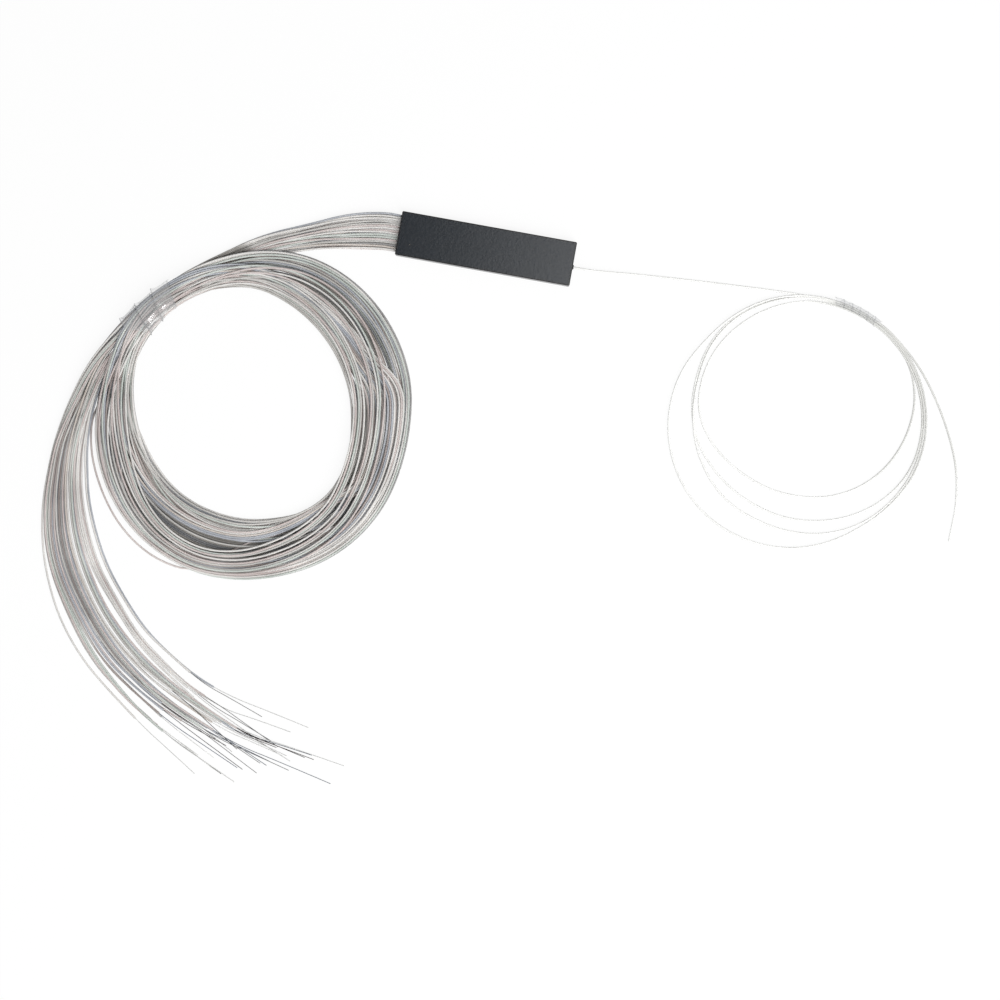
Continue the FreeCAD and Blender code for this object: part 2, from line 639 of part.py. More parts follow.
def tube_along(label, points, radius):
    """Round tube along straight runs joined by tangent arcs; prints the arcs' radii."""
    edges = []
    radii = []
    here = points[0]
    for before, corner, after in zip(points, points[1:], points[2:]):
        arriving = corner - before
        leaving = after - corner
        reach = ARC_SHARE * min(arriving.Length, leaving.Length)
        arriving.normalize()
        leaving.normalize()
        half_turn = arriving.getAngle(leaving) / 2
        bend = reach / math.tan(half_turn)
        radii.append(round(bend, 1))
        inward = (leaving - arriving).normalize()
        start = corner - arriving * reach
        end = corner + leaving * reach
        middle = corner + inward * (bend / math.cos(half_turn) - bend)
        edges.append(Part.LineSegment(here, start).toShape())
        edges.append(Part.Arc(start, middle, end).toShape())
        here = end
    edges.append(Part.LineSegment(here, points[-1]).toShape())
    path = Part.Wire(edges)
    section = Part.Wire([Part.makeCircle(radius, points[0], points[1] - points[0])])
    tube = path.makePipeShell([section], True, True)
    expected = math.pi * radius ** 2 * path.Length
    print(f"{label}: length {path.Length:.1f}, radii {radii}, "
          f"volume {tube.Volume:.2f} of {expected:.2f}")
    if abs(tube.Volume / expected - 1) > 0.01:
        raise RuntimeError(f"{label}: the tube's volume is not its section times its length")
    return tube


# --------------------------------------------------------------------------- bundles

def polar(centre, radius, angle):
    turn = math.radians(angle)
    return Vector(centre[0] + radius * math.cos(turn), centre[1] + radius * math.sin(turn), 0)


def outline(centre, table, column, grow=0.0):
    """Closed outline of a coil, its radius taken from a table in even steps of angle."""
    first = table[0]
    rows = table + [(first[0] + 360, *first[1:])]
    points = []
    for step in range(OUTLINE_CORNERS):
        angle = first[0] + 360 * step / OUTLINE_CORNERS
        low, high = next(pair for pair in zip(rows, rows[1:]) if pair[1][0] > angle)
        share = (angle - low[0]) / (high[0] - low[0])
        points.append(polar(centre, low[column] + share * (high[column] - low[column]) + grow, angle))
    return Part.Face(Part.makePolygon(points + points[:1]))


def coil_face(centre, table, grow=0.0):
    """Flat ring between a coil's inner and outer outlines."""
    return outline(centre, table, 2, grow).cut(outline(centre, table, 1, -grow))


def strip_face(one_side, other_side):
    """Flat strip between two rows of points that run the same way."""
    points = [Vector(x, y, 0) for x, y in one_side + other_side[::-1]]
    return Part.Face(Part.makePolygon(points + points[:1]))


def block(face, bottom, top):
    raised = face.copy()
    raised.translate(UP * bottom)
    return raised.extrude(UP * (top - bottom))


def above_pile(origin, angle, slope_start, slope_end, low, high):
    """All the space over a pile: level, then a slope along the given direction, then level."""
    way = polar((0, 0), 1, angle)
    across = UP.cross(way)
    profile = [(-FAR, low), (slope_start, low), (slope_end, high), (FAR, high),
               (FAR, FAR), (-FAR, FAR)]
    corners = [Vector(*origin, 0) + way * along + UP * height - across * FAR
               for along, height in profile]
    return Part.Face(Part.makePolygon(corners + corners[:1])).extrude(across * 2 * FAR)


def coil_solid(sheet, centre, table, pile, height, pile_height, rounding, grow=0.0):
    """Ring of turns with rounded shoulders, low where they spread and high in their pile."""
    bottom = sheet.coil_bottom
    underside = max(bottom - grow, 0.0)
    angle, slope_start, slope_end = pile
    shoulder, steps = rounding
    layers = []
    for inset, cut in steps:
        low = bottom + height * (1 - cut) + grow
        high = bottom + pile_height * (1 - cut) + grow
        whole = block(coil_face(centre, table, grow - inset * shoulder), underside, high)
        layers.append(whole.cut(above_pile(centre, angle, slope_start, slope_end, low, high)))
    return layers[0].multiFuse(layers[1:]).removeSplitter()


def sector(centre, first, last):
    """Upright wedge of space between two directions from the centre."""
    corners = [Vector(*centre, -FAR), polar(centre, FAR, first), polar(centre, FAR, last)]
    corners = [Vector(corner.x, corner.y, -FAR) for corner in corners]
    return Part.Face(Part.makePolygon(corners + corners[:1])).extrude(UP * 2 * FAR)


def film_sleeve(sheet, coil_with, centre, table, tie, laps, lap, lap_edge):
    """Film wound tightly round a pile of turns, each lap standing off a little where it ends."""
    first, last = tie
    thin = sheet.film_clearance + sheet.film_thickness
    radius = (table[0][1] + table[0][2]) / 2
    edge_angle = math.degrees(lap_edge / radius)
    ends = [first + (last - first) * (number + 1) / laps for number in range(int(laps))]
    raised = coil_with(thin + lap)
    edges = [raised.common(sector(centre, end - edge_angle, end)) for end in ends]
    sleeve = coil_with(thin).common(sector(centre, first, last))
    sleeve = sleeve.multiFuse(edges).removeSplitter()
    return sleeve.cut(coil_with(sheet.film_clearance))


def lead_solid(sheet):
    """Flat bundle that comes down from the comb's height and runs along the table."""
    half = measure(sheet, "((tubes_in_row - 1) * tube_pitch + tube_diameter + bore_clearance) / 2")
    exit_x = measure(sheet, "-housing_length / 2 - straight_exit")
    exit_height = measure(sheet, "row_pitch + tube_diameter + bore_clearance")
    exit_bottom = measure(sheet, COMB_AXIS) - exit_height / 2
    plan = strip_face([(exit_x, -half)] + LEAD_LEFT, [(exit_x, half)] + LEAD_RIGHT)
    low = sheet.bundle_bottom
    high = low + sheet.lead_height
    side = [(exit_x, exit_bottom), (LEAD_LANDING, low), (-FAR, low), (-FAR, high),
            (LEAD_LANDING, high), (exit_x, exit_bottom + exit_height)]
    corners = [Vector(x, -FAR, z) for x, z in side]
    profile = Part.Face(Part.makePolygon(corners + corners[:1])).extrude(Vector(0, 2 * FAR, 0))
    return block(plan, 0, FAR).common(profile)


def tail_solid(sheet):
    """Loose bundle beyond the tie, high beside the tie and flat on the table after it."""
    bottom = sheet.bundle_bottom
    top = bottom + sheet.tail_pile_height
    x, y, angle, slope_start, slope_end = TAIL_PILE
    whole = block(strip_face(TAIL_OUTER, TAIL_INNER), bottom, top)
    return whole.cut(above_pile((x, y), angle, slope_start, slope_end,
                                bottom + sheet.tail_height, top))


def thin_rod(start, end, radius):
    """Straight rod with a few flat sides between two points."""
    way = end - start
    arm = way.cross(UP).normalize() * radius
    corners = [start + Rotation(way, 360 * side / ROD_SIDES).multVec(arm)
               for side in range(ROD_SIDES)]
    return Part.Face(Part.makePolygon(corners + corners[:1])).extrude(way)


def make_output_bundle(doc, sheet):
    """Lead, coil, tie and tail of the 32 output tubes, and the fibres beyond their ends."""
    def coil_with(grow):
        return coil_solid(sheet, OUTPUT_COIL_CENTRE, OUTPUT_COIL, OUTPUT_PILE,
                          sheet.output_coil_height, sheet.output_pile_height,
                          (sheet.output_shoulder, ROUND_SHOULDER), grow)

    coil = coil_with(0.0)
    tie = film_sleeve(sheet, coil_with, OUTPUT_COIL_CENTRE, OUTPUT_COIL, OUTPUT_TIE,
                      sheet.output_laps, sheet.output_lap, sheet.output_lap_edge)
    tail = tail_solid(sheet)
    fibres = []
    for row in FIBRES:
        rod = thin_rod(Vector(*row[:3]), Vector(*row[3:]), sheet.fibre_diameter / 2)
        fibres.append(rod.cut(tail))
    return [
        feature_from(doc, "output_lead_bundle", lead_solid(sheet).cut(coil)),
        feature_from(doc, "output_coil", coil),
        feature_from(doc, "output_coil_tie", tie),
        feature_from(doc, "output_tail_bundle", tail),
        feature_from(doc, "output_fibre_ends", Part.makeCompound(fibres)),
    ]


def make_input_tube(doc, sheet):
    """Input tube: lead from the grommet, coil, film tie and free tail."""
    radius = sheet.tube_diameter / 2
    axis = measure(sheet, AXIS_HEIGHT)
    start = Vector(measure(sheet, GROMMET_LEFT), sheet.input_offset, axis)
    leaving = Vector(measure(sheet, "housing_length / 2 + input_exit"), sheet.input_offset, axis)

    def coil_with(grow):
        return coil_solid(sheet, INPUT_COIL_CENTRE, INPUT_COIL, INPUT_PILE,
                          sheet.input_coil_height, sheet.input_pile_height,
                          (sheet.input_shoulder, PLAIN_SHOULDER), grow)

    coil = coil_with(0.0)
    lead_points = [start, leaving] + [Vector(*point) for point in INPUT_LEAD]
    tail_points = [Vector(*point) for point in INPUT_TAIL]
    lead = tube_along("input_tube_lead", lead_points, radius).cut(coil)
    tail = tube_along("input_tube_tail", tail_points, radius).cut(coil)
    tie = film_sleeve(sheet, coil_with, INPUT_COIL_CENTRE, INPUT_COIL, INPUT_TIE,
                      sheet.input_laps, sheet.input_lap, sheet.input_lap_edge)
    return [
        feature_from(doc, "input_tube_lead", lead),
        feature_from(doc, "input_coil", coil),
        feature_from(doc, "input_coil_tie", tie),
        feature_from(doc, "input_tube_tail", tail),
    ]


# --------------------------------------------------------------------------- document

def check(doc, parts):
    """Stop if any object failed or any sub-part has no sound shape."""
    for item in doc.Objects:
        if "Invalid" in item.State or "Error" in item.State:
            raise RuntimeError(f"{item.Label} failed: {item.State}")
    for part in parts:
        if part.Shape.isNull() or not part.Shape.isValid() or not part.Shape.Solids:
            raise RuntimeError(f"{part.Label} has no valid shape")


def main():
    doc = FreeCAD.newDocument("FibreSplitter")
    sheet = make_sheet(doc)
    parts = [make_housing_base(doc), make_housing_cover(doc), make_output_comb(doc),
             make_input_grommet(doc), make_steel_sleeve(doc)]
    parts += make_sleeve_plugs(doc)
    parts += make_chip_assembly(doc)
    parts += [make_silicone_bed(doc), make_input_fibre(doc)]
    parts += make_output_ribbons(doc, sheet)
    parts += make_output_tubes(doc)
    parts += make_output_bundle(doc, sheet)
    parts += make_input_tube(doc, sheet)
    doc.recompute()
    check(doc, parts)
    os.makedirs("parts", exist_ok=True)
    for part in parts:
        part.Shape.exportStep(f"parts/{part.Label}.step")
    print(f"{len(parts)} parts")
    return doc, parts


main()
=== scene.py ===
"""The dressed fibre splitter: 32 loose output tubes, the input tube, two film ties, every finish.

Lengths are in millimetres and angles in degrees, from +X towards +Y, until a piece is made.
A tube's route is worked out at stations: lines across its bundle, on which every tube has a place.
"""
import math
from collections import namedtuple

import bpy
import numpy as np
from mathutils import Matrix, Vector


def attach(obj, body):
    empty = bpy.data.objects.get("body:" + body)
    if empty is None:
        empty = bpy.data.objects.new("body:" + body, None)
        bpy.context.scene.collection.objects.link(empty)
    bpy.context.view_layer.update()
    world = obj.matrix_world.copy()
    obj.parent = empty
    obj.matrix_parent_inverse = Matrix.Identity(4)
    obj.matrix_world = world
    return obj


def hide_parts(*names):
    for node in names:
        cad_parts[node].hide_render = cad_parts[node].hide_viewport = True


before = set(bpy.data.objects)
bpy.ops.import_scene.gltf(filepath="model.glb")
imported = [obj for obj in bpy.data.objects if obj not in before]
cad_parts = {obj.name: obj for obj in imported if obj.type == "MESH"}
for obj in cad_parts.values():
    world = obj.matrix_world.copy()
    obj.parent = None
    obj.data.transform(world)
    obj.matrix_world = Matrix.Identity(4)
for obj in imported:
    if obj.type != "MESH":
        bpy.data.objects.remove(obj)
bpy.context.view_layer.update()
MM = 0.001
rng = np.random.default_rng(32)


# ------------------------------------------------------------------ output tubes: measures

TUBES = 32
LANES = 16                 # tubes side by side in each of the comb's two rows
COMB_MIDDLE = 2.95         # height half-way between the comb's rows
ROW_HALF = 0.55
TUBE_RADIUS = 0.45
CENTRE = np.array([-92.0, -93.0])
TIE_ANGLE = 141.5
TURNS = 3
PER_TURN = 24              # stations in one turn of the coil
SPACING = 360 / PER_TURN
COMB_STATIONS = 3          # stations in the comb and just outside it, where no tube gives way

# lines across the lead: x, then y of its two edges
LEAD = [
    (-36.0, -9.0, 9.0), (-41.5, -9.0, 9.0), (-46.5, -9.1, 8.9), (-56.5, -10.4, 6.9),
    (-67.5, -12.2, 3.4),
]
# the lead beside the coil: angle, inner radius, outer radius
LEAD_RING = [
    (81.5, 79.0, 92.3), (96.5, 71.4, 82.0), (111.5, 64.8, 73.9), (126.5, 61.4, 71.2),
]
# the coil: angle, inner radius, outer radius
RING = np.array([
    (0, 46.2, 72.2), (20, 46.5, 74.9), (40, 47.3, 76.2), (60, 49.6, 77.5), (80, 53.8, 77.6),
    (95, 57.9, 75.6), (108, 59.4, 73.2), (120, 59.9, 71.0), (131, 60.1, 70.7),
    (141.5, 59.2, 70.5), (152, 58.8, 70.5), (162, 57.9, 69.3), (175, 55.0, 69.2),
    (192, 51.0, 71.2), (212, 48.3, 72.2), (236, 47.2, 74.3), (262, 46.5, 75.5), (290, 47.6, 74.3),
    (315, 50.9, 74.6), (325, 50.6, 74.4), (338, 48.2, 73.8), (360, 46.2, 72.2),
])
# the tail beside the coil: angle, inner radius, outer radius
TAIL_RING = [
    (156.5, 62.8, 72.2), (171.5, 67.0, 76.8), (186.5, 70.3, 82.6),
]
# lines across the rest of the tail: an outer point, an inner point, then where each group of tubes
# begins and ends, as distances from the outer point: inner strays, inner, main, outer, outer stray
TAIL = [
    ((-187.5, -121.4), (-151.9, -115.0),
     (25.4, 24.6), (24.2, 21.6), (21.4, 13.4), (13.2, 11.4), (11.0, 11.0)),
    ((-185.1, -134.8), (-149.5, -128.4),
     (25.3, 24.6), (22.9, 19.6), (19.4, 10.6), (10.4, 8.4), (7.8, 7.8)),
    ((-183.6, -148.3), (-146.2, -141.6),
     (27.0, 26.2), (24.3, 20.8), (20.6, 9.7), (9.5, 6.9), (6.3, 6.3)),
    ((-180.8, -163.8), (-139.9, -156.5),
     (30.5, 29.9), (27.4, 22.9), (22.7, 9.6), (9.4, 6.6), (5.7, 5.7)),
    ((-176.7, -181.5), (-133.0, -169.0),
     (35.0, 34.0), (31.4, 27.2), (26.6, 12.0), (11.8, 8.9), (6.8, 6.8)),
    ((-166.4, -200.3), (-121.7, -180.8),
     (37.4, 36.6), (34.0, 30.5), (27.7, 13.6), (13.4, 9.8), (5.8, 5.8)),
    ((-154.2, -217.4), (-110.0, -190.1),
     (39.3, 37.5), (35.0, 32.3), (30.0, 14.2), (14.0, 9.9), (6.8, 6.8)),
    ((-140.2, -231.4), (-97.2, -197.0),
     (40.9, 39.9), (36.8, 33.3), (31.7, 15.4), (14.8, 10.2), (8.2, 8.2)),
    ((-126.5, -243.6), (-83.0, -204.6),
     (44.6, 41.6), (38.9, 35.6), (35.4, 18.5), (16.2, 12.4), (9.9, 9.9)),
    ((-110.8, -254.5), (-66.7, -211.3),
     (49.2, 46.8), (43.2, 39.0), (38.6, 22.5), (18.0, 15.4), (10.2, 10.2)),
    ((-94.1, -263.0), (-50.8, -217.6),
     (55.0, 53.0), (49.0, 44.0), (41.0, 26.0), (20.0, 16.0), (11.0, 11.0)),
]
GROUP_SIZES = (2, 5, 19, 5, 1)
TAIL_MARGIN = 0.4          # room beside the outermost tubes on those lines
FIRST_END = 4              # no tube ends before this line

FIRST = len(LEAD) + len(LEAD_RING)     # the station where the tubes first pass the tie
LAST = FIRST + PER_TURN * TURNS        # the station where they pass it last
TAIL_START = LAST + 1 + len(TAIL_RING)
STEPS = TAIL_START + len(TAIL)

# from the innermost tube to the outermost: x, y, z of the tube's end and of its fibre's tip
FIBRES = [
    (-86.2, -216.9, 0.5, -40.9, -227.4, 0.2), (-97.7, -212.2, 1.4, -62.4, -226.3, 0.2),
    (-87.5, -222.8, 0.5, -48.5, -230.8, 0.2), (-89.5, -221.5, 1.4, -52.8, -238.4, 0.5),
    (-92.7, -221.1, 1.3, -56.5, -236.3, 0.2), (-94.3, -223.2, 1.4, -46.3, -243.8, 0.5),
    (-97.7, -219.2, 1.3, -56.7, -239.7, 0.2), (-72.5, -233.2, 2.0, -35.9, -241.2, 0.5),
    (-75.2, -232.3, 1.7, -40.1, -241.0, 0.5), (-73.6, -234.2, 1.4, -53.4, -238.7, 1.4),
    (-77.4, -231.5, 1.4, -21.9, -241.6, 0.2), (-79.8, -231.9, 1.4, -37.1, -239.4, 0.5),
    (-82.3, -232.0, 2.0, -48.2, -241.6, 1.4), (-84.2, -232.7, 0.5, -50.2, -241.8, 1.4),
    (-104.2, -221.6, 2.9, -70.9, -242.6, 1.4), (-81.7, -236.8, 1.2, -26.5, -250.6, 0.5),
    (-83.0, -235.9, 1.4, -56.5, -247.6, 0.5), (-85.7, -235.6, 0.8, -59.5, -247.1, 0.5),
    (-87.7, -236.0, 2.0, -46.2, -248.0, 0.5), (-90.3, -235.0, 0.8, -72.9, -244.3, 0.5),
    (-92.3, -234.2, 1.5, -55.7, -245.5, 0.2), (-94.9, -234.6, 0.5, -60.3, -251.8, 0.2),
    (-97.8, -234.3, 1.5, -76.0, -241.9, 1.4), (-108.0, -228.0, 2.5, -81.3, -239.8, 1.2),
    (-106.6, -231.0, 2.5, -66.9, -251.3, 0.4), (-108.4, -232.8, 1.6, -69.4, -251.0, 0.2),
    (-107.0, -234.4, 0.5, -80.5, -248.5, 0.2), (-105.3, -240.5, 1.4, -69.5, -257.5, 0.8),
    (-106.5, -240.0, 0.5, -76.1, -255.0, 0.2), (-108.4, -238.3, 0.8, -79.7, -253.4, 0.8),
    (-111.2, -236.7, 0.5, -87.9, -248.5, 0.2), (-118.7, -237.1, 0.5, -88.0, -257.0, 0.2),
]

# how each turn wanders across the coil: angle, then the places of its inner and its outer tube,
# from 0 at the coil's inner side to 1 at its outer side
LATE = 116.5               # from here the dark tubes lie on the outer side of the last turn
BANDS = [
    [(186.5, 0.0, 1.0), (231.5, 0.0, 1.0), (261.5, 0.0, 1.0), (321.5, 0.0, 1.0), (36.5, 0.1, 1.0),
     (96.5, 0.0, 0.9)],
    [(186.5, 0.0, 0.62), (261.5, 0.3, 1.0), (321.5, 0.35, 1.0), (36.5, 0.25, 1.0),
     (96.5, 0.1, 1.0)],
    [(186.5, 0.1, 1.0), (261.5, 0.05, 1.0), (321.5, 0.1, 0.95), (36.5, 0.0, 0.95),
     (91.5, 0.05, 0.95), (LATE, 0.03, 0.98)],
]
# tubes that lie on top in the last turn and cross from its outer edge to its inner one: the tube,
# then its place among them
CROSSERS = {2: 0.05, 5: 0.14, 9: 0.2, 12: 0.3, 15: 0.36, 19: 0.5, 22: 0.58, 25: 0.66, 28: 0.8,
            31: 0.95}
# the band of these tubes, as in BANDS
CROSSING = [
    (186.5, 0.1, 0.95), (216.5, 0.35, 0.98), (246.5, 0.72, 1.0), (276.5, 0.6, 0.98),
    (306.5, 0.2, 0.84), (321.5, 0.06, 0.74), (336.5, 0.0, 0.62), (6.5, 0.0, 0.56),
    (36.5, 0.0, 0.72), (91.5, 0.1, 0.85), (LATE, 0.03, 0.98),
]
DARK_IN_TAIL = (9, 11, 13, 15, 17, 19, 21, 23, 24, 25)     # the dark tubes' ranks in the tail

# two gaps where the upper turns part: angle, the gap's place across the coil, its half width
PARTING = np.array([
    (0, 0.5, 0.0), (36, 0.5, 0.0), (52, 0.5, 0.08), (66, 0.5, 0.14), (81, 0.54, 0.17),
    (92, 0.63, 0.18), (106, 0.77, 0.15), (119, 0.85, 0.09), (131, 0.88, 0.0), (205, 0.72, 0.0),
    (222, 0.7, 0.09), (237, 0.69, 0.15), (254, 0.64, 0.17), (270, 0.56, 0.16), (285, 0.45, 0.14),
    (300, 0.31, 0.13), (315, 0.15, 0.08), (330, 0.1, 0.0), (360, 0.5, 0.0),
])
# for each gap its first and last angle, the first and last angle where the lowest turn lies flat
# below it, and how far the parting leans to the outer side
PARTED = ((205, 330, 197, 318, 0.0), (36, 131, 28, 92, 0.16))
FLAT_HEIGHT = 0.47
LOOSE_EVERY, LOOSE_FIRST = 7, 3        # every seventh tube runs over the gaps

# a tube that strays out of the coil: tube, turn, then angle and radius
STRAYS = [
    (7, 1, [(186.5, 71.0), (201.5, 74.0), (216.5, 75.6), (231.5, 77.7), (246.5, 78.2),
            (261.5, 75.4)]),
]

# how tubes that lie in each other come apart: the share of their overlap undone in a round, the
# most that a tube moves in it, how far a tube's drift is evened then, less in the last rounds, and
# how far it is drawn back to its own place and height
PUSH = 0.42
MOST_ACROSS, MOST_UP = 0.5, 0.4
EVENING, LAST_EVENING, LAST_ROUNDS = 0.35, 0.12, 40
BACK_ACROSS, BACK_UP = 0.02, 0.03
TUBE_ROOM = 0.93           # what a tube takes up; a little more than its width
ON_TABLE = 0.5             # height of a tube that lies on the table
ABOVE_TABLE = 0.03         # the least room under a tube

Station = namedtuple("Station", "origin way low high section")


# ------------------------------------------------------------------ output tubes: routes

def way_at(angle):
    """The direction of an angle, seen from above."""
    turn = math.radians(angle)
    return np.array([math.cos(turn), math.sin(turn)])


def steps_past_tie(angle):
    return (angle - TIE_ANGLE) % 360 / SPACING


def station_list():
    """Every station along a tube; those of one section lie over each other and share its room."""
    stations = [Station(np.array([x, 0.0]), np.array([0.0, 1.0]), low, high, f"lead{number}")
                for number, (x, low, high) in enumerate(LEAD)]

    def beside_coil(angle, low, high):
        section = f"ring{round(steps_past_tie(angle)) % PER_TURN}"
        stations.append(Station(CENTRE, way_at(angle), low, high, section))

    for line in LEAD_RING:
        beside_coil(*line)
    for step in range(PER_TURN * TURNS + 1):
        angle = (TIE_ANGLE + step * SPACING) % 360
        beside_coil(angle, *(np.interp(angle, RING[:, 0], RING[:, k]) for k in (1, 2)))
    for line in TAIL_RING:
        beside_coil(*line)
    for number, (outer, inner, *groups) in enumerate(TAIL):
        across = np.subtract(outer, inner)
        width = np.linalg.norm(across)
        places = [width - place for group in groups for place in group]
        stations.append(Station(np.array(inner), across / width, min(places) - TAIL_MARGIN,
                                max(places) + TAIL_MARGIN, f"tail{number}"))
    return stations


def wander(count, steps, strength):
    """Slow random drift along each tube, from a few sine waves."""
    along = np.linspace(0, 1, steps)
    drift = np.zeros((count, steps))
    for waves in (1.3, 2.7, 5.1, 8.3):
        phase = rng.uniform(0, 2 * math.pi, (count, 1))
        wave = np.sin(2 * math.pi * waves * along + phase)
        drift += rng.normal(0, 1, (count, 1)) / waves ** 0.6 * wave
    return drift * strength


def smooth_step(value):
    value = np.clip(value, 0, 1)
    return value * value * (3 - 2 * value)


def even_shares():
    return (np.arange(TUBES) + 0.5) / TUBES


def ranked(values):
    """The tubes in the order of some values, spread evenly from 0 to 1."""
    return even_shares()[np.argsort(np.argsort(values))]


def balanced_orders():
    """The tubes' order in each turn, chosen so that all tubes come out about as long."""
    best = None
    for _ in range(400):
        trial = [rng.permutation(even_shares()) for _ in range(TURNS)]
        spread = np.std(sum(trial))
        if best is None or spread < best[0]:
            best = (spread, trial)
    orders = best[1]
    orders[2] = ranked(-(orders[0] + orders[1]) + rng.normal(0, 0.12, TUBES))
    return orders


def share_across():
    """Each tube's place across its bundle at every station, from 0, inner, to 1, outer.

    Also the tubes' order in the tail, their order in each turn, and the dark tubes.
    """
    order_lane = 1 - (np.arange(TUBES) % LANES + 0.5) / LANES
    orders = balanced_orders()
    tail = rng.permutation(even_shares())
    loose = [t for t in range(TUBES) if t not in CROSSERS]
    loose.sort(key=lambda t: abs(orders[2][t] - 0.55) - 0.1 * order_lane[t])
    dark = loose[:len(DARK_IN_TAIL)]
    late = ranked(orders[2] + 0.55 * np.isin(np.arange(TUBES), dark)
                  - 0.3 * np.isin(np.arange(TUBES), list(CROSSERS)))
    others = sorted((t for t in range(TUBES) if t not in dark), key=lambda t: tail[t])
    in_tail = sorted(dark, key=lambda t: late[t]) + others
    ranks = [*DARK_IN_TAIL, *(rank for rank in range(TUBES) if rank not in DARK_IN_TAIL)]
    for tube, rank in zip(in_tail, ranks):
        tail[tube] = (rank + 0.5) / TUBES
    # in the tie a tube's place comes from its places before and after it
    at_tie = [ranked(order) for order in (
        0.55 * order_lane + 0.45 * orders[0], 0.5 * (orders[0] + orders[1]),
        0.5 * (orders[1] + orders[2]), 0.7 * late + 0.3 * tail)]

    share = np.zeros((TUBES, STEPS))
    lead_end = len(LEAD) - 1
    for tube in range(TUBES):
        anchors = [(0, 0.03 + 0.94 * order_lane[tube]), (lead_end, 0.02 + 0.96 * order_lane[tube]),
                   (FIRST, 0.03 + 0.94 * at_tie[0][tube])]
        for turn in range(TURNS):
            begin = FIRST + turn * PER_TURN
            crossing = turn == TURNS - 1 and tube in CROSSERS
            for angle, low, high in CROSSING if crossing else BANDS[turn]:
                rank = CROSSERS[tube] if crossing else orders[turn][tube]
                if angle == LATE:
                    rank = late[tube]
                anchors.append((begin + steps_past_tie(angle), low + (high - low) * rank))
            anchors.append((begin + PER_TURN, 0.03 + 0.94 * at_tie[turn + 1][tube]))
        anchors += [(TAIL_START - 1, tail[tube]), (STEPS - 1, tail[tube])]
        share[tube] = np.interp(np.arange(STEPS), *zip(*anchors))
    for _ in range(3):
        share[:, lead_end:-1] = (0.5 * share[:, lead_end:-1]
                                 + 0.25 * (share[:, lead_end - 1:-2] + share[:, lead_end + 1:]))
    return share, tail, orders, dark


def part_upper_turns(share, orders):
    """Open the gaps: a tube keeps to one side of a gap, but crossing and loose ones run over it.

    Gives the places where the lowest turn lies flat below a gap, which don't give way.
    """
    anchored = np.zeros(share.shape, bool)
    angles = (TIE_ANGLE + (np.arange(STEPS) - FIRST) * SPACING) % 360
    middle, half = (np.interp(angles, PARTING[:, 0], PARTING[:, k]) for k in (1, 2))
    for turn in range(TURNS):
        begin = FIRST + turn * PER_TURN
        inside = np.arange(begin, begin + PER_TURN)
        free = [t for t in range(TUBES)
                if (turn == TURNS - 1 and t in CROSSERS) or t % LOOSE_EVERY == LOOSE_FIRST]
        for first, last, flat_from, flat_to, lean in PARTED:
            if turn == 0:
                flat = inside[(angles[inside] > flat_from) & (angles[inside] < flat_to)]
                anchored[:, flat] = True
                rank = np.argsort(np.argsort(orders[0]))[:, None]
                share[:, flat] = 0.012 + 0.976 * rank / (TUBES - 1)
                continue
            gap = inside[(angles[inside] > first) & (angles[inside] < last)]
            offset = (share[:, gap] - middle[gap]).mean(axis=1) - lean
            inner = [t for t in range(TUBES) if offset[t] < 0 and t not in free]
            outer = [t for t in range(TUBES) if offset[t] >= 0 and t not in free]
            for index in gap:
                top = max(share[inner, index].max(), middle[index]) if inner else 1.0
                share[inner, index] *= (middle[index] - half[index]) / top
                low = min(share[outer, index].min(), middle[index]) if outer else 0.0
                room = 1 - middle[index] - half[index]
                share[outer, index] = 1 - (1 - share[outer, index]) * room / (1 - low)
    return anchored


def part_tail(stations, share, tail_order):
    """Part the tail into its groups; gives the tubes' ranks in it and how far each is lifted."""
    rank_of = np.argsort(np.argsort(tail_order))
    group_of = np.repeat(np.arange(len(GROUP_SIZES)), GROUP_SIZES)[rank_of]
    first_of = np.cumsum((0,) + GROUP_SIZES)[group_of]
    in_group = (rank_of - first_of + 0.5) / np.array(GROUP_SIZES)[group_of]
    lift = np.zeros((TUBES, STEPS))
    drift = wander(TUBES, STEPS, 0.05)
    for index, (outer, inner, *groups) in enumerate(TAIL, start=TAIL_START):
        low, high = stations[index].low, stations[index].high
        width = np.linalg.norm(np.subtract(outer, inner))
        for tube in range(TUBES):
            start, end = groups[group_of[tube]]
            part = np.clip(in_group[tube] + drift[tube, index], 0.02, 0.98)
            spot = width - (start + (end - start) * part)
            share[tube, index] = (spot - low) / (high - low)
            layers = max(1.0, GROUP_SIZES[group_of[tube]] * 0.95 / max(abs(start - end), 0.9))
            lift[tube, index] = (rank_of[tube] % 3) / 2 * (layers - 1) * 0.9
    return rank_of, lift


def rest_heights(tail_lift):
    """How high each tube would lie if no other pushed it."""
    level = np.zeros((TUBES, STEPS))
    upper = np.arange(TUBES) < LANES
    in_comb = COMB_MIDDLE + np.where(upper, ROW_HALF, -ROW_HALF)
    two_layers = np.where(upper, 1.4, ON_TABLE)
    for index in range(STEPS):
        if index < COMB_STATIONS:
            level[:, index] = in_comb
        elif index < FIRST:      # down from the comb over four stations
            fall = smooth_step((index - COMB_STATIONS + 1) / 4)
            level[:, index] = (1 - fall) * in_comb + fall * two_layers
        elif index <= LAST:
            step = index - FIRST
            turn = min(step // PER_TURN, TURNS - 1)
            # 1 where the film piles the turns up, 0 on the other side of the coil
            pile = (math.cos(math.radians(step * SPACING)) * 0.5 + 0.5) ** 4
            over_lead = 1.1 if turn == 0 and step > PER_TURN - 5 else 0.0
            level[:, index] = ON_TABLE + over_lead + turn * (0.95 + 1.3 * pile) + 0.4 * pile
            if turn == TURNS - 1:
                level[list(CROSSERS), index] += 1.9 * (1 - pile)
        else:                    # down from the pile
            level[:, index] = max(ON_TABLE, 4.6 - (index - LAST) * 0.85) + tail_lift[:, index]
    return level


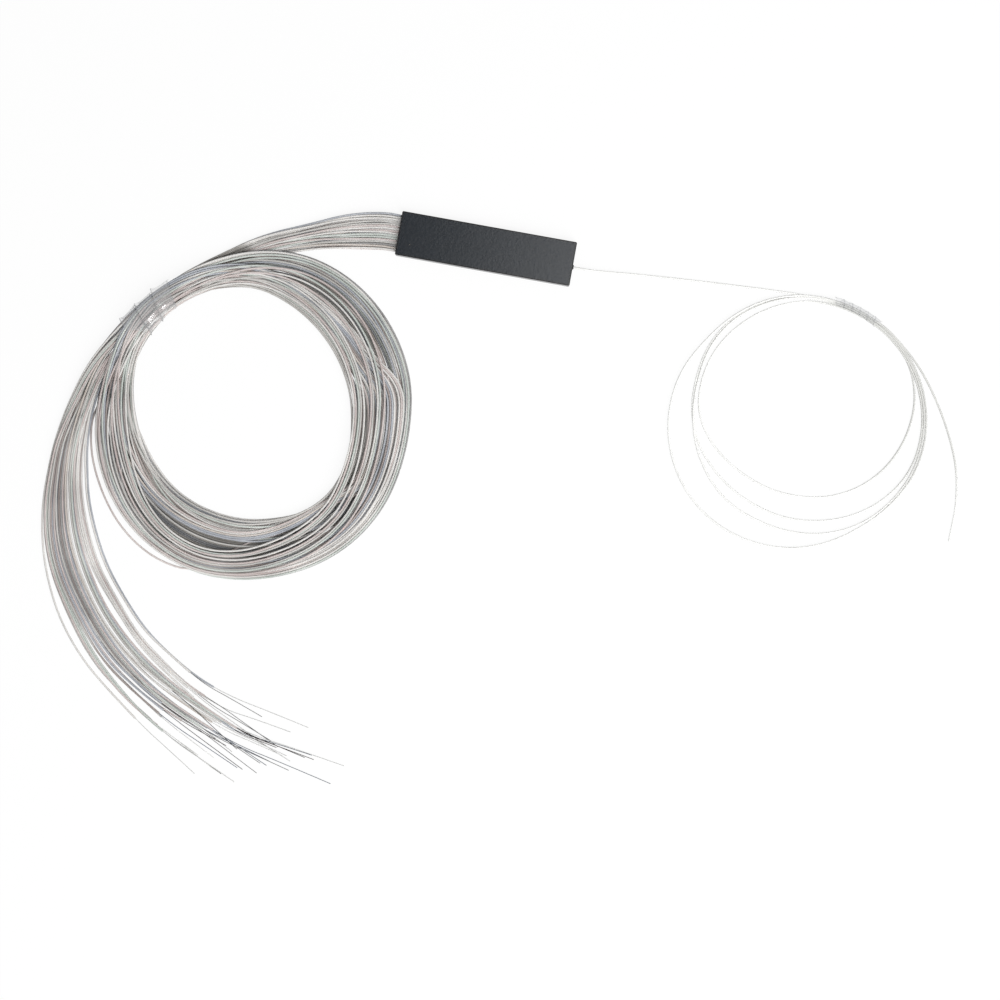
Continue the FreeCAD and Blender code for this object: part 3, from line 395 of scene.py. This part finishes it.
def settle(stations, share, level, width, rounds=220, anchored=None):
    """Push tubes apart at each station until none lies in another, keeping their drift smooth."""
    low = np.array([station.low for station in stations])
    high = np.array([station.high for station in stations])
    target = low + share * (high - low)
    place = target.copy()
    rise = level.copy()
    sections = {}
    for index, station in enumerate(stations):
        sections.setdefault(station.section, []).append(index)
    in_comb = [f"lead{number}" for number in range(COMB_STATIONS)]
    fixed = np.tile([station.section in in_comb for station in stations], (len(share), 1))
    if anchored is not None:
        fixed |= anchored
    half = width / 2
    for number in range(rounds):
        push_across = np.zeros_like(place)
        push_up = np.zeros_like(rise)
        for members in sections.values():
            across = place[:, members].ravel()
            up = rise[:, members].ravel()
            apart_across = across[:, None] - across[None, :]
            apart_up = up[:, None] - up[None, :]
            apart = np.sqrt(apart_across * apart_across + apart_up * apart_up) + 1e-6
            over = np.clip(width - apart, 0, None)
            np.fill_diagonal(over, 0)
            amount = PUSH * over / apart
            push_across[:, members] = (amount * apart_across).sum(1).reshape(len(share), -1)
            push_up[:, members] = (amount * apart_up).sum(1).reshape(len(share), -1)
        place += np.clip(push_across, -MOST_ACROSS, MOST_ACROSS)
        rise += np.clip(push_up, -MOST_UP, MOST_UP)
        blend = EVENING if number < rounds - LAST_ROUNDS else LAST_EVENING
        for values, rest, pull in ((place, target, BACK_ACROSS), (rise, level, BACK_UP)):
            off = values - rest
            even = off.copy()
            even[:, 1:-1] = 0.5 * off[:, 1:-1] + 0.25 * (off[:, 2:] + off[:, :-2])
            values[:] = rest + (1 - pull) * ((1 - blend) * off + blend * even)
        place = np.clip(place, low + half * 0.6, high - half * 0.6)
        place[fixed] = target[fixed]
        rise[fixed] = level[fixed]
        rise = np.maximum(rise, half + ABOVE_TABLE)
    return place, rise


def in_space(stations, place, rise):
    points = np.zeros(place.shape + (3,))
    for index, station in enumerate(stations):
        points[:, index, :2] = station.origin + place[:, index, None] * station.way
        points[:, index, 2] = rise[:, index]
    return points


def trim(route, end):
    """The route up to the tube's end, its last points eased over to meet it."""
    best = None
    for index in range(TAIL_START + FIRST_END, STEPS - 1):
        here = route[index, :2]
        run = route[index + 1, :2] - here
        part = np.clip(np.dot(end[:2] - here, run) / np.dot(run, run), 0, 1)
        miss = end[:2] - here - part * run
        if best is None or np.linalg.norm(miss) < best[0]:
            best = (np.linalg.norm(miss), index, part, miss)
    _, index, part, miss = best
    kept = route[:index + (1 if part > 0.4 else 0)].copy()
    for back, weight in enumerate((0.65, 0.3, 0.08), start=1):
        kept[-back, :2] += miss * weight
        kept[-back, 2] += (end[2] - kept[-back, 2]) * weight
    return np.vstack([kept, end])


stations = station_list()
share, tail_order, orders, dark_tubes = share_across()
ramp_in = np.clip((np.arange(STEPS) - 1.2) / 5, 0, 1)
share = np.clip(share + wander(TUBES, STEPS, 0.035) * ramp_in, 0, 1)
anchored = part_upper_turns(share, orders)
rank_of, tail_lift = part_tail(stations, share, tail_order)
level = rest_heights(tail_lift)
level[anchored] = FLAT_HEIGHT
place, rise = settle(stations, share, level, TUBE_ROOM, anchored=anchored)
for tube, turn, marks in STRAYS:
    for angle, radius in marks:
        index = FIRST + turn * PER_TURN + round(steps_past_tie(angle))
        place[tube, index] = radius
        rise[tube, index] = ON_TABLE
tubes = in_space(stations, place, rise)


# ------------------------------------------------------------------ input tube: route

IN_CENTRE = np.array([152.5, -52.0])
IN_STATIONS = 20           # in one turn
IN_SPACING = 18
IN_FIRST_ANGLE = 76
# each turn: angle and radius
IN_TURNS = [
    [
        (76, 56.8), (58, 57.7), (35, 58.0), (25, 56.0), (10, 52.2), (-5, 48.3), (-25, 43.6),
        (-45, 39.1), (-67, 35.3), (-93, 32.5), (-122, 33.6), (-147, 37.4), (-166, 42.9),
        (-183, 47.0), (-197, 47.9), (-217, 50.7), (-237, 52.4), (-251, 54.2), (-266, 55.8),
        (-284, 56.4),
    ],
    [
        (76, 56.4), (58, 57.3), (36, 58.0), (10, 57.7), (-1, 57.0), (-17, 56.0), (-34, 52.7),
        (-49, 49.7), (-67, 46.3), (-88, 43.8), (-108, 42.2), (-133, 42.7), (-157, 46.0),
        (-172, 47.8), (-188, 49.1), (-201, 51.4), (-217, 54.8), (-233, 56.4), (-247, 56.8),
        (-284, 57.4),
    ],
    [
        (76, 57.4), (58, 57.8), (36, 58.6), (10, 58.3), (-17, 57.4), (-38, 55.9), (-55, 54.3),
        (-69, 52.2), (-82, 50.3), (-102, 48.3), (-125, 48.3), (-145, 47.3), (-170, 47.7),
        (-188, 48.4), (-201, 50.6), (-217, 54.2), (-233, 55.8), (-258, 57.0), (-284, 57.9),
    ],
    [
        (76, 57.9), (58, 58.3), (36, 59.5), (10, 59.2), (-17, 58.3), (-35, 56.4), (-50, 55.8),
        (-67, 56.8), (-82, 57.8), (-96, 58.4), (-112, 59.1), (-131, 59.9), (-150, 59.6),
        (-166, 59.2), (-183, 58.4), (-198, 57.5), (-217, 55.4), (-233, 57.0), (-258, 58.0),
        (-284, 58.2),
    ],
]
IN_LEAD = [
    (36.0, -1.15, 3.0), (43.0, -1.15, 3.0), (50.0, -1.1, 2.9), (66.0, 0.6, 1.2), (82.0, 1.9, 0.5),
    (104.0, 3.3, 0.5), (122.0, 4.3, 0.5), (138.0, 5.0, 0.9), (150.0, 4.9, 1.6),
]
IN_LAST = [(76, 57.8, 2.2), (58, 58.2, 2.0)]     # through the film once more: with its height
IN_TAIL = [(49, 58.6), (34, 60.9), (17, 64.6), (3, 70.3), (-7, 75.8), (-17, 81.2)]
IN_END = [(230.0, -84.5, 0.5), (229.8, -93.0, 0.5)]
IN_PILE_ANGLE = 66         # where the film draws the turns together
IN_MARGIN = 3              # room on each side of the tube's own place
IN_TUBE_ROOM = 0.92
IN_ROUNDS = 120


def input_route():
    """The input tube from the grommet round its coil to its free end."""
    stations, radii, level = [], [], []

    def mark(angle, radius, height, section=None):
        section = section or f"ring{round(angle % 360 / IN_SPACING) % IN_STATIONS}"
        stations.append(Station(IN_CENTRE, way_at(angle), radius - IN_MARGIN, radius + IN_MARGIN,
                                section))
        radii.append(radius)
        level.append(height)

    for number, table in enumerate(IN_TURNS):
        angles, distances = zip(*table[::-1])
        for step in range(IN_STATIONS):
            angle = IN_FIRST_ANGLE - step * IN_SPACING
            # 1 under the film, 0 on the other side of the coil, where the turns lie side by side
            pile = max(0.0, math.cos(math.radians(angle - IN_PILE_ANGLE))) ** 6
            layer = number * 2 % 5     # the turns lie on each other in another order than they run
            mark(angle, float(np.interp(angle, angles, distances)),
                 ON_TABLE + 0.25 * number + pile * (0.15 + 0.45 * layer * 0.6))
    for line in IN_LAST:
        mark(*line)
    for angle, radius in IN_TAIL:      # down by 0.4 in every 15 degrees
        mark(angle, radius, max(ON_TABLE, 1.7 - 0.4 * (58 - angle) / 15), f"tail{angle}")
    lows = np.array([station.low for station in stations])
    share = (np.array(radii) - lows) / (2.0 * IN_MARGIN)
    place, rise = settle(stations, share[None, :], np.array(level)[None, :], IN_TUBE_ROOM,
                         IN_ROUNDS)
    coil = in_space(stations, place, rise)[0]
    return np.vstack([np.array(IN_LEAD), coil, np.array(IN_END)])


input_points = input_route()


# ------------------------------------------------------------------ materials

def srgb(*values):
    """A colour on the scale that pictures use, from 0 to 255, as the shader wants it."""
    return tuple((v / 255 / 12.92) if v / 255 <= 0.04045 else ((v / 255 + 0.055) / 1.055) ** 2.4
                 for v in values)


class Finish:
    """A material with the calls that build its nodes."""

    def __init__(self, name):
        self.material = bpy.data.materials.new(name)
        self.material.use_nodes = True
        self.nodes = self.material.node_tree.nodes
        self.links = self.material.node_tree.links
        self.shader = self.nodes["Principled BSDF"]

    def feed(self, socket, value):
        """Link another node's output to a socket, or set the socket to a constant."""
        if isinstance(value, bpy.types.NodeSocket):
            self.links.new(value, socket)
        else:
            socket.default_value = value

    def set(self, values):
        for name, value in values.items():
            self.feed(self.shader.inputs[name], value)

    def colour(self):
        return self.shader.inputs["Base Color"].links[0].from_socket

    def node(self, kind, **inputs):
        made = self.nodes.new(kind)
        for name, value in inputs.items():
            self.feed(made.inputs[name.replace("_", " ")], value)
        return made

    def calculate(self, operation, *values):
        made = self.node("ShaderNodeMath")
        made.operation = operation
        for socket, value in zip(made.inputs, values):
            self.feed(socket, value)
        return made.outputs["Value"]

    def place(self):
        """Where a point lies seen from above, and its coordinates one by one."""
        spot = self.node("ShaderNodeTexCoord")
        axes = self.node("ShaderNodeSeparateXYZ", Vector=spot.outputs["Object"]).outputs
        flat = self.node("ShaderNodeCombineXYZ", X=axes["X"], Y=axes["Y"])
        return flat.outputs["Vector"], axes

    def distance(self, flat, spot):
        """How far a point lies from a spot, seen from above."""
        away = self.node("ShaderNodeVectorMath")
        away.operation = "DISTANCE"
        self.feed(away.inputs[0], flat)
        self.feed(away.inputs[1], (spot[0] * MM, spot[1] * MM, 0))
        return away.outputs["Value"]

    def fade(self, value, start, end, kind="SMOOTHSTEP"):
        """0 at start, 1 at end."""
        ramp = self.node("ShaderNodeMapRange")
        ramp.interpolation_type = kind
        for name, number in (("Value", value), ("From Min", start * MM), ("From Max", end * MM)):
            self.feed(ramp.inputs[name], number)
        return ramp.outputs["Result"]

    def mix(self, amount, first, second, kind="MIX"):
        made = self.node("ShaderNodeMix")
        made.data_type = "RGBA"
        made.blend_type = kind
        for name, value in (("Factor", amount), ("A", first), ("B", second)):
            self.feed(made.inputs[name], value)
        return made.outputs["Result"]

    def paint_shade(self, amount, tone):
        """Paint shade into the colour: darker where the amount is high."""
        self.set({"Base Color": self.mix(amount, self.colour(), (*tone, 1), "MULTIPLY")})


def plastic(name, dark, light, scale, roughness, bump=0.0, detail=6.0, coat=0.0, squash=None):
    """Plastic with a fine colour grain and a matching bump."""
    finish = Finish(name)
    place = finish.node("ShaderNodeTexCoord").outputs["Object"]
    if squash:
        place = finish.node("ShaderNodeMapping", Vector=place, Scale=squash).outputs["Vector"]
    noise = finish.node("ShaderNodeTexNoise", Vector=place, Scale=scale, Detail=detail,
                        Roughness=0.6)
    ramp = finish.node("ShaderNodeValToRGB", Fac=noise.outputs["Fac"])
    for stop, position, colour in zip(ramp.color_ramp.elements, (0.3, 0.72), (dark, light)):
        stop.position = position
        stop.color = (*colour, 1)
    finish.set({"Base Color": ramp.outputs["Color"], "Roughness": roughness, "Coat Weight": coat})
    if bump:
        lift = finish.node("ShaderNodeBump", Strength=bump, Distance=0.0001,
                           Height=noise.outputs["Fac"])
        finish.set({"Normal": lift.outputs["Normal"]})
    return finish


TINTS = [  # slot, light colour, shade of the fibre seen through the wall
    ("tube_white", srgb(226, 225, 222), srgb(202, 201, 198)),
    ("tube_green", srgb(205, 215, 209), srgb(176, 188, 181)),
    ("tube_pink", srgb(214, 203, 200), srgb(188, 172, 169)),
    ("tube_grey", srgb(204, 203, 199), srgb(176, 175, 171)),
    ("tube_blue", srgb(182, 189, 199), srgb(150, 158, 170)),
    ("tube_brown", srgb(184, 171, 166), srgb(148, 134, 130)),
    ("tube_orange", srgb(214, 206, 198), srgb(188, 178, 168)),
    ("tube_dark", srgb(172, 172, 172), srgb(134, 134, 135)),
]
CROSSING_SHADE_SPOT = CENTRE + 68 * way_at(108)        # centre of the painted shade where the coil's turns cross over the lead
BUNDLE_SHADE_SPOT = IN_CENTRE + 58 * way_at(33)        # centre of the painted shade where the input coil's turns lie together


def muted(colour):
    """The colour drawn towards its own grey, a little warmer."""
    grey = sum(colour) / 3
    return tuple(grey + (v - grey) * 0.62 + warm * grey
                 for v, warm in zip(colour, (0.013, -0.004, -0.014)))


def painted_coil_shade(finish):
    """0 to 1: painted shade on the output coil's lower turns, deeper down, and where the turns
    cross over the lead.
    """
    flat, axes = finish.place()
    ring = finish.distance(flat, CENTRE)
    coil = finish.calculate("MULTIPLY", finish.fade(ring, 48.5, 53.5),
                            finish.fade(ring, 72.0, 66.5))
    crossing = finish.fade(finish.distance(flat, CROSSING_SHADE_SPOT), 16.0, 9.0)
    return finish.calculate(
        "MAXIMUM",
        finish.calculate("MULTIPLY", coil, finish.fade(axes["Z"], 2.6, 1.0)),
        finish.calculate("MULTIPLY", crossing, finish.fade(axes["Z"], 4.2, 2.4)))


def painted_bundle_shade(finish):
    """0 to 1: painted shade towards that side of the input coil, where its turns lie together."""
    flat, _axes = finish.place()
    return finish.fade(finish.distance(flat, BUNDLE_SHADE_SPOT), 64.0, 40.0)


tube_materials = {}
for name, light, dark in TINTS:
    finish = plastic(f"{name}_wall", muted(dark), muted(light), scale=40.0, roughness=0.5,
                     detail=2.0)
    finish.set({"Specular IOR Level": 0.35, "Subsurface Weight": 0.4,
                "Subsurface Radius": (1.0, 0.97, 0.93), "Subsurface Scale": 0.0005})
    # painted shade: the tube colour darkened deep in the output coil and where it crosses the lead
    finish.paint_shade(painted_coil_shade(finish), (0.45, 0.44, 0.425))
    tube_materials[name] = finish.material

finish = plastic("input_tube_wall", srgb(234, 234, 232), srgb(242, 242, 240), scale=60.0,
                 roughness=0.6, detail=2.0)
finish.set({"Specular IOR Level": 0.25})
# painted shade: the input tube's colour darkened where its turns lie together
finish.paint_shade(painted_bundle_shade(finish), (0.76, 0.76, 0.75))
input_material = finish.material

COATS = {
    "black": srgb(26, 24, 26), "brown": srgb(52, 36, 32), "blue": srgb(44, 66, 96),
    "slate": srgb(84, 94, 108), "grey": srgb(112, 112, 112), "light": srgb(205, 205, 203),
    "pale": srgb(226, 226, 223),
}
fibre_materials = {
    name: plastic(f"fibre_coat_{name}", tuple(v * 0.75 for v in colour), colour, scale=90.0,
                  roughness=0.4).material
    for name, colour in COATS.items()}
# from the innermost tube in the tail to the outermost
COAT_OF = [
    "light", "grey", "light", "grey", "grey", "light", "light", "brown", "black", "brown",
    "light", "slate", "light", "pale", "black", "slate", "slate", "grey", "grey", "light", "blue",
    "grey", "brown", "brown", "black", "blue", "pale", "light", "grey", "pale", "pale", "light",
]

# tints of the output tubes: pale ones cross on top, dark ones keep to the middle of the last turn
ON_TOP = ["white", "pink", "green", "grey", "white", "pink", "grey", "white", "green", "pink"]
MIDDLE = ["dark", "blue", "brown", "blue", "dark", "blue", "grey", "blue", "brown", "orange"]
INSIDE = ["grey", "pink", "green", "white", "blue", "grey", "green", "brown"]
OUTSIDE = ["white", "white", "pink", "white", "green", "white"]


def choose_tints():
    others = [t for t in range(TUBES) if t not in CROSSERS and t not in dark_tubes]
    tints = {}
    for kinds, members in (
            (ON_TOP, sorted(CROSSERS)), (MIDDLE, dark_tubes),
            (INSIDE, [t for t in others if orders[2][t] < 0.5]),
            (OUTSIDE, [t for t in others if orders[2][t] >= 0.5])):
        for number, tube in enumerate(members):
            tints[tube] = "tube_" + kinds[number % len(kinds)]
    return tints


# ------------------------------------------------------------------ tubes and fibres

FIBRE_RADIUS = 0.15


def add_object(name, data):
    made = bpy.data.objects.new(name, data)
    bpy.context.scene.collection.objects.link(made)
    return made


def make_curve(name, points, radius, material, resolution=6, sides=5):
    data = bpy.data.curves.new(name, "CURVE")
    data.dimensions = "3D"
    data.bevel_depth = radius * MM
    data.bevel_resolution = sides
    data.resolution_u = resolution
    data.use_fill_caps = True
    spline = data.splines.new("NURBS")
    spline.points.add(len(points) - 1)
    for point, target in zip(points, spline.points):
        target.co = (*(float(v) * MM for v in point), 1.0)
    spline.order_u = 3
    spline.use_endpoint_u = True
    data.materials.append(material)
    piece = add_object(name, data)
    piece.shadow_terminator_geometry_offset = 0.2
    piece.shadow_terminator_normal_offset = 0.0001
    return piece


def bare_fibre(tube, end, tip, way):
    """The fibre beyond a tube's end: it leaves the tube straight and sinks to its tip."""
    reach = np.linalg.norm(tip - end)
    near = end + way * reach * 0.2
    near[2] = max(near[2], end[2] * 0.95)
    middle = 0.5 * (end + tip) + way * 0.06 * reach
    middle[2] = max(middle[2], end[2] * 0.75)
    bare = make_curve(f"bare_fibre_{tube + 1:02d}", [end - way * 2, near, middle, tip],
                      FIBRE_RADIUS, fibre_materials[COAT_OF[rank_of[tube]]], sides=2)
    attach(bare, "root")
    return bare


tint_of = choose_tints()
for tube in range(TUBES):
    end, tip = np.split(np.array(FIBRES[rank_of[tube]]), 2)
    points = trim(tubes[tube], end)
    piece = make_curve(f"output_cord_{tube + 1:02d}", points, TUBE_RADIUS,
                       tube_materials[tint_of[tube]])
    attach(piece, "root")
    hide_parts(f"output_tube_{tube + 1:02d}", "output_lead_bundle", "output_coil",
                "output_tail_bundle", "output_fibre_ends")
    way = end - points[-2]
    way[2] = 0
    way /= np.linalg.norm(way)
    bare = bare_fibre(tube, end, tip, way)

input_cord = make_curve("input_cord", input_points, TUBE_RADIUS, input_material, 10, 8)
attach(input_cord, "root")
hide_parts("input_tube_lead", "input_coil", "input_tube_tail")


# ------------------------------------------------------------------ film wound round the piles

RING_STEPS = 48            # rows of faces in one lap
FILM_CELLS = (-0.5, -0.46, -0.24, 0.0, 0.24, 0.46, 0.5)    # across the tape's width
# directions of the film's flat facets round a pile, from outward over the top to inward
FACETS = np.radians([0, 30, 52, 70, 84, 95, 107, 128, 152, 180, 215, 250, 270, 290, 325])
NORMALS = np.stack([np.cos(FACETS), np.sin(FACETS)], axis=1)
TAPER = 0.22               # share of a lap over which the tape's end runs out
FILM_GAP, LAP_GAP = 0.15, 0.05         # room under the first lap, and what each lap adds
LOWEST = 0.03              # of the film over the table


def pile_reach(pile, angle, gap):
    """A pile's middle at an angle, and how far its tubes reach from there towards each facet."""
    ends, centre_angle, spacing = pile
    turn = abs(angle - centre_angle) / spacing
    section = (1 - turn) * ends[1] + turn * ends[2 if angle > centre_angle else 0]
    middle = 0.5 * (section.min(axis=0) + section.max(axis=0))
    return middle, (section @ NORMALS.T).max(axis=0) - NORMALS @ middle + TUBE_RADIUS + gap


def film_wrap(name, centre, pile, first, pitch, laps, tape, flare, crumple, seed, materials):
    """One long tape wound round a pile of turns, flat across its width, its edges standing off.

    first is the angle where it starts, pitch the angle that a lap goes on by, tape its width.
    """
    phases = np.random.default_rng(seed).uniform(0, 2 * math.pi, 5)
    vertices = []
    for step in range(int(RING_STEPS * laps) + 1):
        lap = step / RING_STEPS
        phi = 2 * math.pi * lap
        angle = first + pitch * lap
        # a lap keeps to the pile's shape where it starts, and goes over to the next one below
        middle, reach = pile_reach(pile, first + pitch * math.floor(lap + 0.25),
                                   FILM_GAP + LAP_GAP * lap)
        way = np.array([math.cos(phi), math.sin(phi)])
        facing = NORMALS @ way
        far = min(reach[facing > 0.05] / facing[facing > 0.05])
        side = abs(math.cos(phi)) ** 2
        inward = max(0.0, -math.cos(phi))
        crumpled = max(0.0, 1 - lap / 0.9) * crumple
        out = way_at(angle)
        along = np.array([-out[1], out[0]]) * math.copysign(1, pitch)
        for cell in FILM_CELLS:
            edge = abs(cell * 2)
            # one edge flares on the pile's sides, and both on its inner side
            lift = flare * (0.15 + 0.85 * side) * max(0.0, cell * 2) ** 3
            lift += 0.6 * flare * inward * edge ** 2
            # a faint ripple all over, and folds in the first lap
            lift += (0.04 * math.sin(5 * phi + 7 * cell + phases[0])
                     * math.sin(2.3 * phi + phases[1]))
            lift += crumpled * (math.sin(9 * phi + phases[2]) * math.sin(6 * cell + phases[3])
                                + 0.6 * math.sin(14 * phi + 9 * cell + phases[4]))
            if lap > laps - TAPER:
                cell = min(cell, 0.5 - (lap - laps + TAPER) * 3.4)
            away = middle + way * (far + max(lift, -0.05 - 0.03 * edge))
            spot = centre + out * away[0] + along * (cell * tape)
            vertices.append((spot[0] * MM, spot[1] * MM, max(away[1], LOWEST) * MM))
    across = len(FILM_CELLS)
    starts = [row + cell for row in range(0, len(vertices) - across, across)
              for cell in range(across - 1)]
    data = bpy.data.meshes.new(name)
    data.from_pydata(vertices, [], [(a, a + 1, a + across + 1, a + across) for a in starts])
    for material in materials:
        data.materials.append(material)
    for polygon in data.polygons:
        if polygon.index % (across - 1) in (0, across - 2):
            polygon.material_index = 1
    piece = add_object(name, data)
    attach(piece, "root")
    return piece


def film(name, alpha, tone, roughness, coat=0.0, gloss=0.5):
    """Clear film, its tone uneven over centimetres where it is stretched."""
    finish = plastic(name, srgb(tone - 14, tone - 12, tone - 9), srgb(tone, tone, tone),
                     scale=120.0, roughness=roughness, detail=1.0, coat=coat)
    finish.set({"Alpha": alpha, "Coat Roughness": 0.1, "Specular IOR Level": gloss})
    return finish.material


def tie_sections(passes):
    """Where the tubes lie one station before, at and after the tie, all passes together."""
    return np.array([np.stack([values[:, [p + off for p in passes]].ravel()
                               for values in (place, rise)], axis=1) for off in (-1, 0, 1)])


glossy_film = (film("wrapping_film", 0.32, 214, 0.16, coat=1.0, gloss=1.0),
               film("wrapping_film_edge", 0.75, 176, 0.2, coat=1.0, gloss=1.0))
thin_film = (film("input_wrapping_film", 0.2, 196, 0.5),
             film("input_wrapping_film_edge", 0.5, 170, 0.5))
output_pile = (tie_sections([FIRST + k * PER_TURN for k in range(TURNS + 1)]), TIE_ANGLE, 15)
output_film = film_wrap("output_film", CENTRE, output_pile, first=134.3, pitch=7.8, laps=2.42,
                        tape=8.6, flare=1.2, crumple=0.0, seed=5, materials=glossy_film)
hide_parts("output_coil_tie")
input_turns = [(r, z) for r in (56.6, 58.4) for z in (0.5, 2.3)]
input_film = film_wrap("input_film", IN_CENTRE, (np.array([input_turns] * 3), 70, 30),
                       first=81.5, pitch=-3.9, laps=5.3, tape=4.3, flare=0.3, crumple=0.24,
                       seed=9, materials=thin_film)
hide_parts("input_coil_tie")


# ------------------------------------------------------------------ housing and inner pieces

HALF_LENGTH, HALF_WIDTH = 40, 10
SPECK, SPECK_RADIUS = (-34.1, -4.5), 0.2


def dress(material, *nodes):
    for node in nodes:
        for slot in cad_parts[node].material_slots:
            slot.material = material


def housing_moulding():
    """Fine-grained blue-black moulding with painted shade, darker and greyer, along its rims, and
    one dust speck.
    """
    finish = plastic("housing_moulding", srgb(4, 13, 22), srgb(9, 21, 31), scale=900.0,
                     roughness=0.22, bump=0.4)
    flat, axes = finish.place()
    from_end, from_side = (
        finish.calculate("SUBTRACT", half * MM, finish.calculate("ABSOLUTE", axes[axis]))
        for axis, half in (("X", HALF_LENGTH), ("Y", HALF_WIDTH)))
    # painted shade along the rounded rims: 0 at the rim, 1 on the body
    body = finish.fade(finish.calculate("MINIMUM", from_end, from_side), 0.35, 0.95, "LINEAR")
    speck = finish.calculate("LESS_THAN", finish.distance(flat, SPECK), SPECK_RADIUS * MM)
    specked = finish.mix(speck, finish.colour(), (*srgb(104, 96, 78), 1))
    # the painted shade colour at the rims, the grained colour with its speck on the body
    finish.set({"Base Color": finish.mix(body, (*srgb(8, 10, 12), 1), specked)})
    return finish.material


dress(housing_moulding(), "housing_base", "housing_cover")
soft_black = plastic("comb_moulding", srgb(20, 21, 22), srgb(30, 31, 32), scale=500.0,
                     roughness=0.6, bump=0.2)
dress(soft_black.material, "output_comb", "input_grommet")
steel = plastic("drawn_steel", (0.5, 0.5, 0.49), (0.64, 0.64, 0.63), scale=300.0, roughness=0.32,
                bump=0.1, detail=4.0, squash=(0.05, 1, 1))
steel.set({"Metallic": 1.0})
dress(steel.material, "steel_sleeve")
silicone = plastic("soft_silicone", (0.72, 0.72, 0.69), (0.84, 0.84, 0.81), scale=200.0,
                   roughness=0.55, bump=0.1)
silicone.set({"Subsurface Weight": 0.3, "Subsurface Radius": (0.002, 0.002, 0.0018)})
dress(silicone.material, "sleeve_plug_input", "sleeve_plug_output", "silicone_bed")
for name, dark, light, nodes in (
        ("silica_chip", (0.7, 0.76, 0.78), (0.78, 0.83, 0.85), ["splitter_chip"]),
        ("polished_glass", (0.84, 0.9, 0.9), (0.9, 0.94, 0.94),
         ["chip_cover_glass", "input_capillary", "output_array_lid", "output_array_base"])):
    glass = plastic(name, dark, light, scale=400.0, roughness=0.06, bump=0.02, detail=2.0)
    glass.set({"Transmission Weight": 0.85, "IOR": 1.46})
    dress(glass.material, *nodes)
ribbon = plastic("ribbon_matrix", (0.6, 0.64, 0.66), (0.76, 0.79, 0.81), scale=600.0,
                 roughness=0.25, bump=0.05, squash=(0.02, 1, 1))
dress(ribbon.material, *(f"output_ribbon_{number}" for number in range(1, 5)))
dress(fibre_materials["blue"], "input_fibre")


# ------------------------------------------------------------------ floor, lights, camera

FLOOR_SIZE = 6             # metres
FLOOR_GLOW, FLOOR_SOFT = 0.885, 0.11   # seen by the camera: together about white, with a shadow
VIEW_WIDTH = 0.4519        # metres that the picture shows from side to side, at this height
VIEW_HEIGHT = 0.003
VIEW_MIDDLE = (0.02631, -0.11051)
VIEW_TURN = 10.2
LENS, SENSOR = 85, 36


def white_floor():
    """White to the camera and in reflections; to every other ray a pale matt board."""
    finish = Finish("floor_white")
    finish.set({"Base Color": (0.85, 0.85, 0.85, 1), "Roughness": 1.0, "Specular IOR Level": 0.0})
    path = finish.node("ShaderNodeLightPath").outputs
    mirrored = finish.calculate("MAXIMUM", path["Is Glossy Ray"], path["Is Transmission Ray"])
    soft = finish.node("ShaderNodeBsdfDiffuse", Color=(FLOOR_SOFT, FLOOR_SOFT, FLOOR_SOFT, 1))
    glow = finish.node("ShaderNodeEmission", Color=(1, 1, 1, 1), Strength=FLOOR_GLOW)
    seen = finish.node("ShaderNodeAddShader")
    mix = finish.node("ShaderNodeMixShader")
    for socket, value in (
            (seen.inputs[0], soft.outputs["BSDF"]), (seen.inputs[1], glow.outputs["Emission"]),
            (mix.inputs["Fac"], finish.calculate("MAXIMUM", path["Is Camera Ray"], mirrored)),
            (mix.inputs[1], finish.shader.outputs["BSDF"]),
            (mix.inputs[2], seen.outputs["Shader"]),
            (finish.nodes["Material Output"].inputs["Surface"], mix.outputs["Shader"])):
        finish.feed(socket, value)
    return finish.material


def area_light(name, location, target, size, power):
    data = bpy.data.lights.new(name, "AREA")
    data.shape = "SQUARE"
    data.size = size
    data.energy = power
    lamp = add_object(name, data)
    lamp.location = location
    lamp.rotation_mode = "QUATERNION"
    lamp.rotation_quaternion = (Vector(target) - Vector(location)).to_track_quat("-Z", "Y")


bpy.ops.mesh.primitive_plane_add(size=FLOOR_SIZE, location=(0, 0, -0.0001))
floor = bpy.context.object
floor.name = "floor"
floor.data.materials.append(white_floor())

studio = bpy.data.worlds.new("studio")
studio.use_nodes = True
bpy.context.scene.world = studio
background = studio.node_tree.nodes["Background"]
background.inputs["Color"].default_value = (1, 1, 1, 1)
background.inputs["Strength"].default_value = 0.335
# the softbox's reflection is the sheen on the housing's cover
area_light("softbox", (0.17, 0.09, 1.2), (0.17, 0.09, 0), size=0.34, power=1.3)
area_light("key", (0.84, -0.64, 0.95), (0, -0.1, 0), size=1.0, power=12.9)
area_light("overhead", (0.28, -0.36, 1.12), (-0.05, -0.08, 0), size=0.28, power=4.5)

lens = bpy.data.cameras.new("camera")
lens.lens = LENS
lens.sensor_width = SENSOR
lens.clip_start, lens.clip_end = 0.01, 20
camera = add_object("camera", lens)
distance = VIEW_WIDTH / 2 / math.tan(math.atan(SENSOR / 2 / LENS))
camera.location = (*VIEW_MIDDLE, distance + VIEW_HEIGHT)
camera.rotation_euler = (0, 0, math.radians(VIEW_TURN))
bpy.context.scene.camera = camera
bpy.context.scene.view_settings.view_transform = "Standard"
